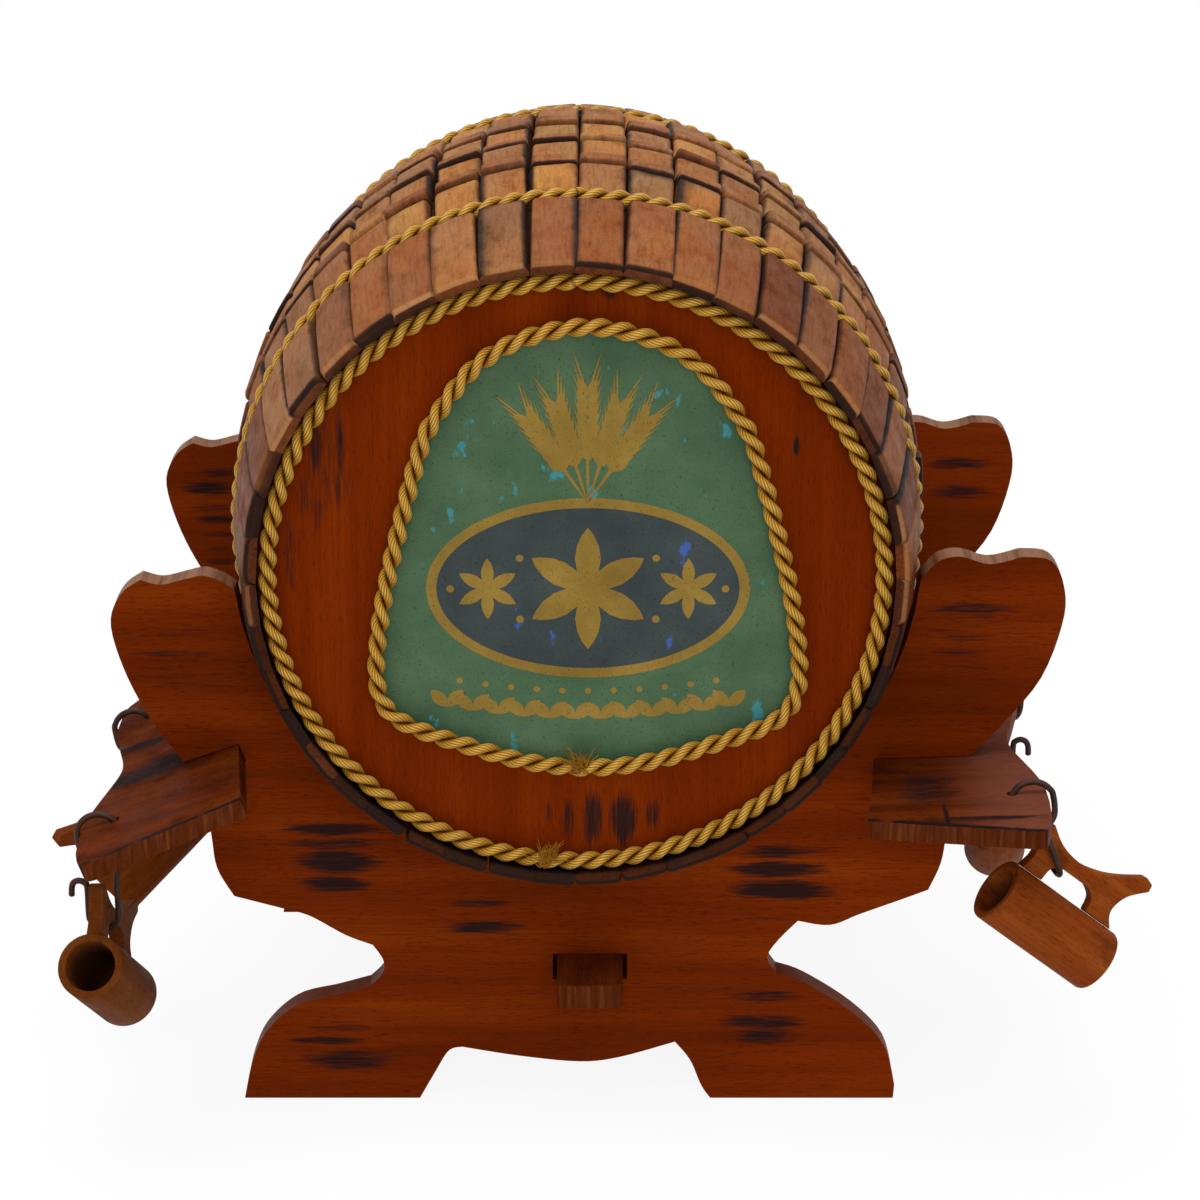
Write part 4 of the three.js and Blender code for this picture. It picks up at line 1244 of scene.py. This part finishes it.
# %% Bend the wire hooks
RUST = ((0.3, (0.02, 0.009, 0.006)), (0.55, (0.04, 0.017, 0.011)), (0.75, (0.085, 0.033, 0.017)))
WIRE_R = 1.0
WIRE_END_R = 0.75 * WIRE_R
WIRE_SIDES = 12
HOOK_STEPS = 6
LOOP_R = 6.8
BEND_R = 4.8
CURL_R = 2.5
SHANK = 9.2
MUGS = ("front_left", "front_right", "rear_left", "rear_right")


def brown_iron():
    """Makes the finish of the wire."""
    finish = Finish("browned_iron", 0.2)
    finish.inputs["Metallic"].default_value = 0.2
    rust = finish.coords().cloud(420, detail=4.0)
    return finish.done(rust.shades(*RUST), rust.mask(-0.3, 1.2), rust, 0.06)


def hook_path(mug):
    """Gives the middle line of one hook, in metres."""
    centre = Vector(JOINTS[mug + "_hook_swing"]["pos_m"])
    pivot = Vector(JOINTS[mug + "_mug_swing"]["pos_m"])
    across = Vector(JOINTS[mug + "_mug_swing"]["axis"])
    up = (centre - pivot).normalized()
    side = -1 if mug.endswith("left") else 1
    outward = Vector((up.z, 0, -up.x)) * side
    bend_z = BEND_R - (centre - pivot).length / MM
    curl_z = bend_z + SHANK
    knots = []
    for step in range(11):
        turn = math.radians(212 - 21.2 * step)
        knots.append(outward * LOOP_R * math.cos(turn) + up * LOOP_R * math.sin(turn))
    knots.append(outward * (LOOP_R - 1.6) + up * (0.2 - LOOP_R))
    knots.append(across * (0.7 - BEND_R) + up * (-LOOP_R - 2.4))
    knots.append(across * -BEND_R + up * curl_z)
    for step in range(7):
        turn = math.radians(180 + 30 * step)
        knots.append(across * BEND_R * math.cos(turn) + up * (bend_z + BEND_R * math.sin(turn)))
    for step in range(5):
        turn = math.radians(180 - 45 * step)
        reach = BEND_R + CURL_R + CURL_R * math.cos(turn)
        knots.append(across * reach + up * (curl_z + CURL_R * math.sin(turn)))
    knots.append(across * (BEND_R + 2 * CURL_R + 0.2) + up * (curl_z - 3))
    return [centre + spot * MM for spot in smooth_path(knots, HOOK_STEPS)]


wire_finish = brown_iron()
for mug in MUGS:
    path = hook_path(mug)
    radii = [WIRE_R * MM] * len(path)
    radii[0] = radii[-1] = WIRE_END_R * MM
    form = Form()
    form.tube(sweep(path, radii, WIRE_SIDES))
    form.seat(mug + "_wire", wire_finish, mug + "_hook_body", "iron_wire", (mug + "_hook",))

# %% [markdown]
# The mugs are turned from plain wood, with a bored inside and a flat cut-out handle glued on. A lathe is
# a profile swung about an axis, so the cup is rings of points from the bore's floor over the rim
# to the foot. The field mug_place keeps each mug's own axes, so its grain runs along the cup, and
# mug_marks says how deep in the bore a point lies, for painted shade inside it, and how dark the mug's
# varnish is.

# %% Finish of the mugs
MUG_WOOD = ((0.14, 0.025, 0.003), (0.21, 0.042, 0.006), (0.28, 0.07, 0.013))
MUG_SMOKE = (0.07, 0.016, 0.004)
MUG_VARNISH = (0.55, 0.75, 1.0)
MUG_BORE_SHADE = (0.07, 0.022, 0.009)


def stain_mugs():
    """Makes the finish that the four mugs share."""
    finish = Finish("mug_stain", 0.025, LACQUER)
    place = finish.field("mug_place")
    bored, varnished, _ = finish.field("mug_marks").split()
    colour, height = beech(place, 0, *MUG_WOOD, 8.0)
    smoke = place.cloud(110, grain_stretch(0, 0.5), 4.0)
    colour = smoke.mask(0.55, 0.8).mix(colour, MUG_SMOKE)
    colour = varnished.mix(colour, MUG_VARNISH, "MULTIPLY")
    # Painted shade: the bore grows darker the deeper it goes.
    colour = bored.mask(0.05, 0.9).mix(colour, MUG_BORE_SHADE)
    return finish.done(colour, smoke.mask(-0.8, 1.5), height, 0.06)


mug_finish = stain_mugs()
print("mugs: finish ready")

# %% Turn the cups
HANG = math.radians(39.395)
HANG_ALONG = 6.8
HANG_OUT = 15.4
CUP_R = 10.5
BORE_R = 7.9
CUP_HALF = 21.5
BORE_END = 7.0 - CUP_HALF
CUP_SIDES = 72
BORE_POINTS = 7
BORE_SHADE = 12.0
CUP_PROFILE = (
    (0.0, BORE_END), (5.0, BORE_END), (BORE_R - 0.5, BORE_END), (BORE_R, BORE_END + 0.5), (BORE_R, -4),
    (BORE_R, 8), (BORE_R, CUP_HALF - 0.6), (BORE_R + 0.15, CUP_HALF - 0.2), (BORE_R + 0.6, CUP_HALF),
    (CUP_R - 0.6, CUP_HALF), (CUP_R - 0.15, CUP_HALF - 0.2), (CUP_R, CUP_HALF - 0.7), (CUP_R + 0.05, 8),
    (CUP_R, -6), (CUP_R, 0.8 - CUP_HALF), (CUP_R - 0.2, 0.25 - CUP_HALF), (CUP_R - 0.8, -CUP_HALF),
    (5.0, -CUP_HALF), (0.0, -CUP_HALF),
)
NEXT_WOOD = Vector((70, 31, 17))
HANDLE_WOOD = Vector((300, 0, 0))
VARNISH = dict(zip(MUGS, (0.9, 0.1, 0.5, 0.3)))
MOUTH_HEADING = dict(zip(MUGS, (264, 194, 28, 262)))
ROLL = dict(zip(MUGS, (4, 10.5, 0, 0)))


def mug_axes(mug):
    """Gives the matrix from a mug's own axes (along, out, across) in millimetres to the frame."""
    pivot = Vector(JOINTS[mug + "_mug_swing"]["pos_m"])
    loop = Vector(JOINTS[mug + "_hook_swing"]["pos_m"])
    heading = math.radians(MOUTH_HEADING[mug])
    level = Vector((math.cos(heading), math.sin(heading), 0))
    up = Vector((0, 0, 1))
    along = level * math.cos(HANG) + up * math.sin(HANG)
    out = up * math.cos(HANG) - level * math.sin(HANG)
    across = along.cross(out)
    bend_centre = pivot + (loop - pivot).normalized() * BEND_R * MM
    origin = pivot - bend_centre - (along * HANG_ALONG + out * HANG_OUT) * MM
    axes = Matrix((along, out, across)).transposed().to_4x4() @ Matrix.Scale(MM, 4)
    roll = Matrix.Rotation(math.radians(ROLL[mug]), 4, level)
    return Matrix.Translation(bend_centre) @ roll @ Matrix.Translation(origin) @ axes


def turn_cup(mug, number):
    """Turns one cup from a place of its own in the wood, and seats it on its mug body."""
    axes = mug_axes(mug)
    wood = NEXT_WOOD * number
    form = Form("mug_place", "mug_marks")
    rows = []
    for index, (radius, along) in enumerate(CUP_PROFILE):
        bored = min(1.0, (CUP_HALF - along) / BORE_SHADE) if index < BORE_POINTS else 0.0
        row = []
        for side in range(CUP_SIDES if radius else 1):
            angle = 2 * math.pi * side / CUP_SIDES
            spot = Vector((along, radius * math.cos(angle), radius * math.sin(angle)))
            row.append(form.add(axes @ spot, (spot + wood) * MM, (bored, VARNISH[mug], 0)))
        rows.append(row)
    for inner, outer in zip(rows[1:-1], rows[2:-1]):
        form.band(inner, outer)
    for (pole,), ring in (rows[:2], rows[:-3:-1]):
        form.faces += [(pole, ring[side], ring[(side + 1) % CUP_SIDES]) for side in range(CUP_SIDES)]
    form.seat(mug + "_turned_cup", mug_finish, mug + "_mug", "mug_wood", (mug + "_cup",))


for number, mug in enumerate(MUGS, 1):
    turn_cup(mug, number)

# %% [markdown]
# A handle is fretsawn from a thin board: a flat back that lies on the cup, a long horn beside the mouth,
# a shorter one at the foot, and an opening for the hook. Its outline is drawn once, with smooth curves
# between sharp corners, then given its thickness and eased edges.

# %% Saw the handles
HANDLE_T = 5.0
HANDLE_EASE = 0.45
HANDLE_CRISP = 50
HANDLE_STEPS = 5
SEAT = 10.6
INNER_TOP = 17.53
FOOT = -CUP_HALF
MOUTH = CUP_HALF


def handle_outline():
    """Gives the outline of a handle in the mug's own axes."""
    outline = [(FOOT + 3.5, SEAT)]

    def bow(*knots):
        run = [Vector(outline[-1])] + [Vector(knot) for knot in knots]
        outline.extend(tuple(spot) for spot in smooth_path(run, HANDLE_STEPS)[1:])

    bow((FOOT + 6.9, 15.5), (FOOT + 5.3, 22), (FOOT - 0.1, 27.6))
    outline.append((FOOT + 0.3, 30))
    outline.append((FOOT + 3.3, 31))
    bow((FOOT + 10.5, 26.6), (FOOT + 16.9, 23.8), (MOUTH - 17.8, 22.2), (MOUTH - 9.5, 23.6),
        (MOUTH - 2.9, 27.4))
    outline.append((MOUTH - 0.5, 25.6))
    bow((MOUTH - 1.9, 20.5), (MOUTH - 3.1, 15.5), (MOUTH - 2, SEAT))
    outline.append((11.5, SEAT))
    bow((11, 15), (8.4, INNER_TOP))
    outline.append((-3, INNER_TOP))
    bow((-6.4, 15.2), (-7.5, SEAT))
    return outline


def saw_handle(mug, number):
    """Saws one handle and seats it on its mug body."""
    block = bmesh.new()
    face = block.faces.new([block.verts.new((along, out, -HANDLE_T / 2)) for along, out in handle_outline()])
    raised = bmesh.ops.extrude_face_region(block, geom=[face])
    for vert in (item for item in raised["geom"] if isinstance(item, bmesh.types.BMVert)):
        vert.co.z = HANDLE_T / 2
    bmesh.ops.recalc_face_normals(block, faces=block.faces)
    ease_edges(block, HANDLE_CRISP, HANDLE_EASE)
    block.verts.index_update()
    axes = mug_axes(mug)
    wood = NEXT_WOOD * number + HANDLE_WOOD
    form = Form("mug_place", "mug_marks")
    for vert in block.verts:
        form.add(axes @ vert.co, (vert.co + wood) * MM, (0, VARNISH[mug], 0))
    form.faces = [tuple(vert.index for vert in face.verts) for face in block.faces]
    block.free()
    nodes = (mug + "_handle",)
    even_shading(form.seat(mug + "_sawn_handle", mug_finish, mug + "_mug", "mug_wood", nodes, EASED_CREASE))


for number, mug in enumerate(MUGS, 1):
    saw_handle(mug, number)
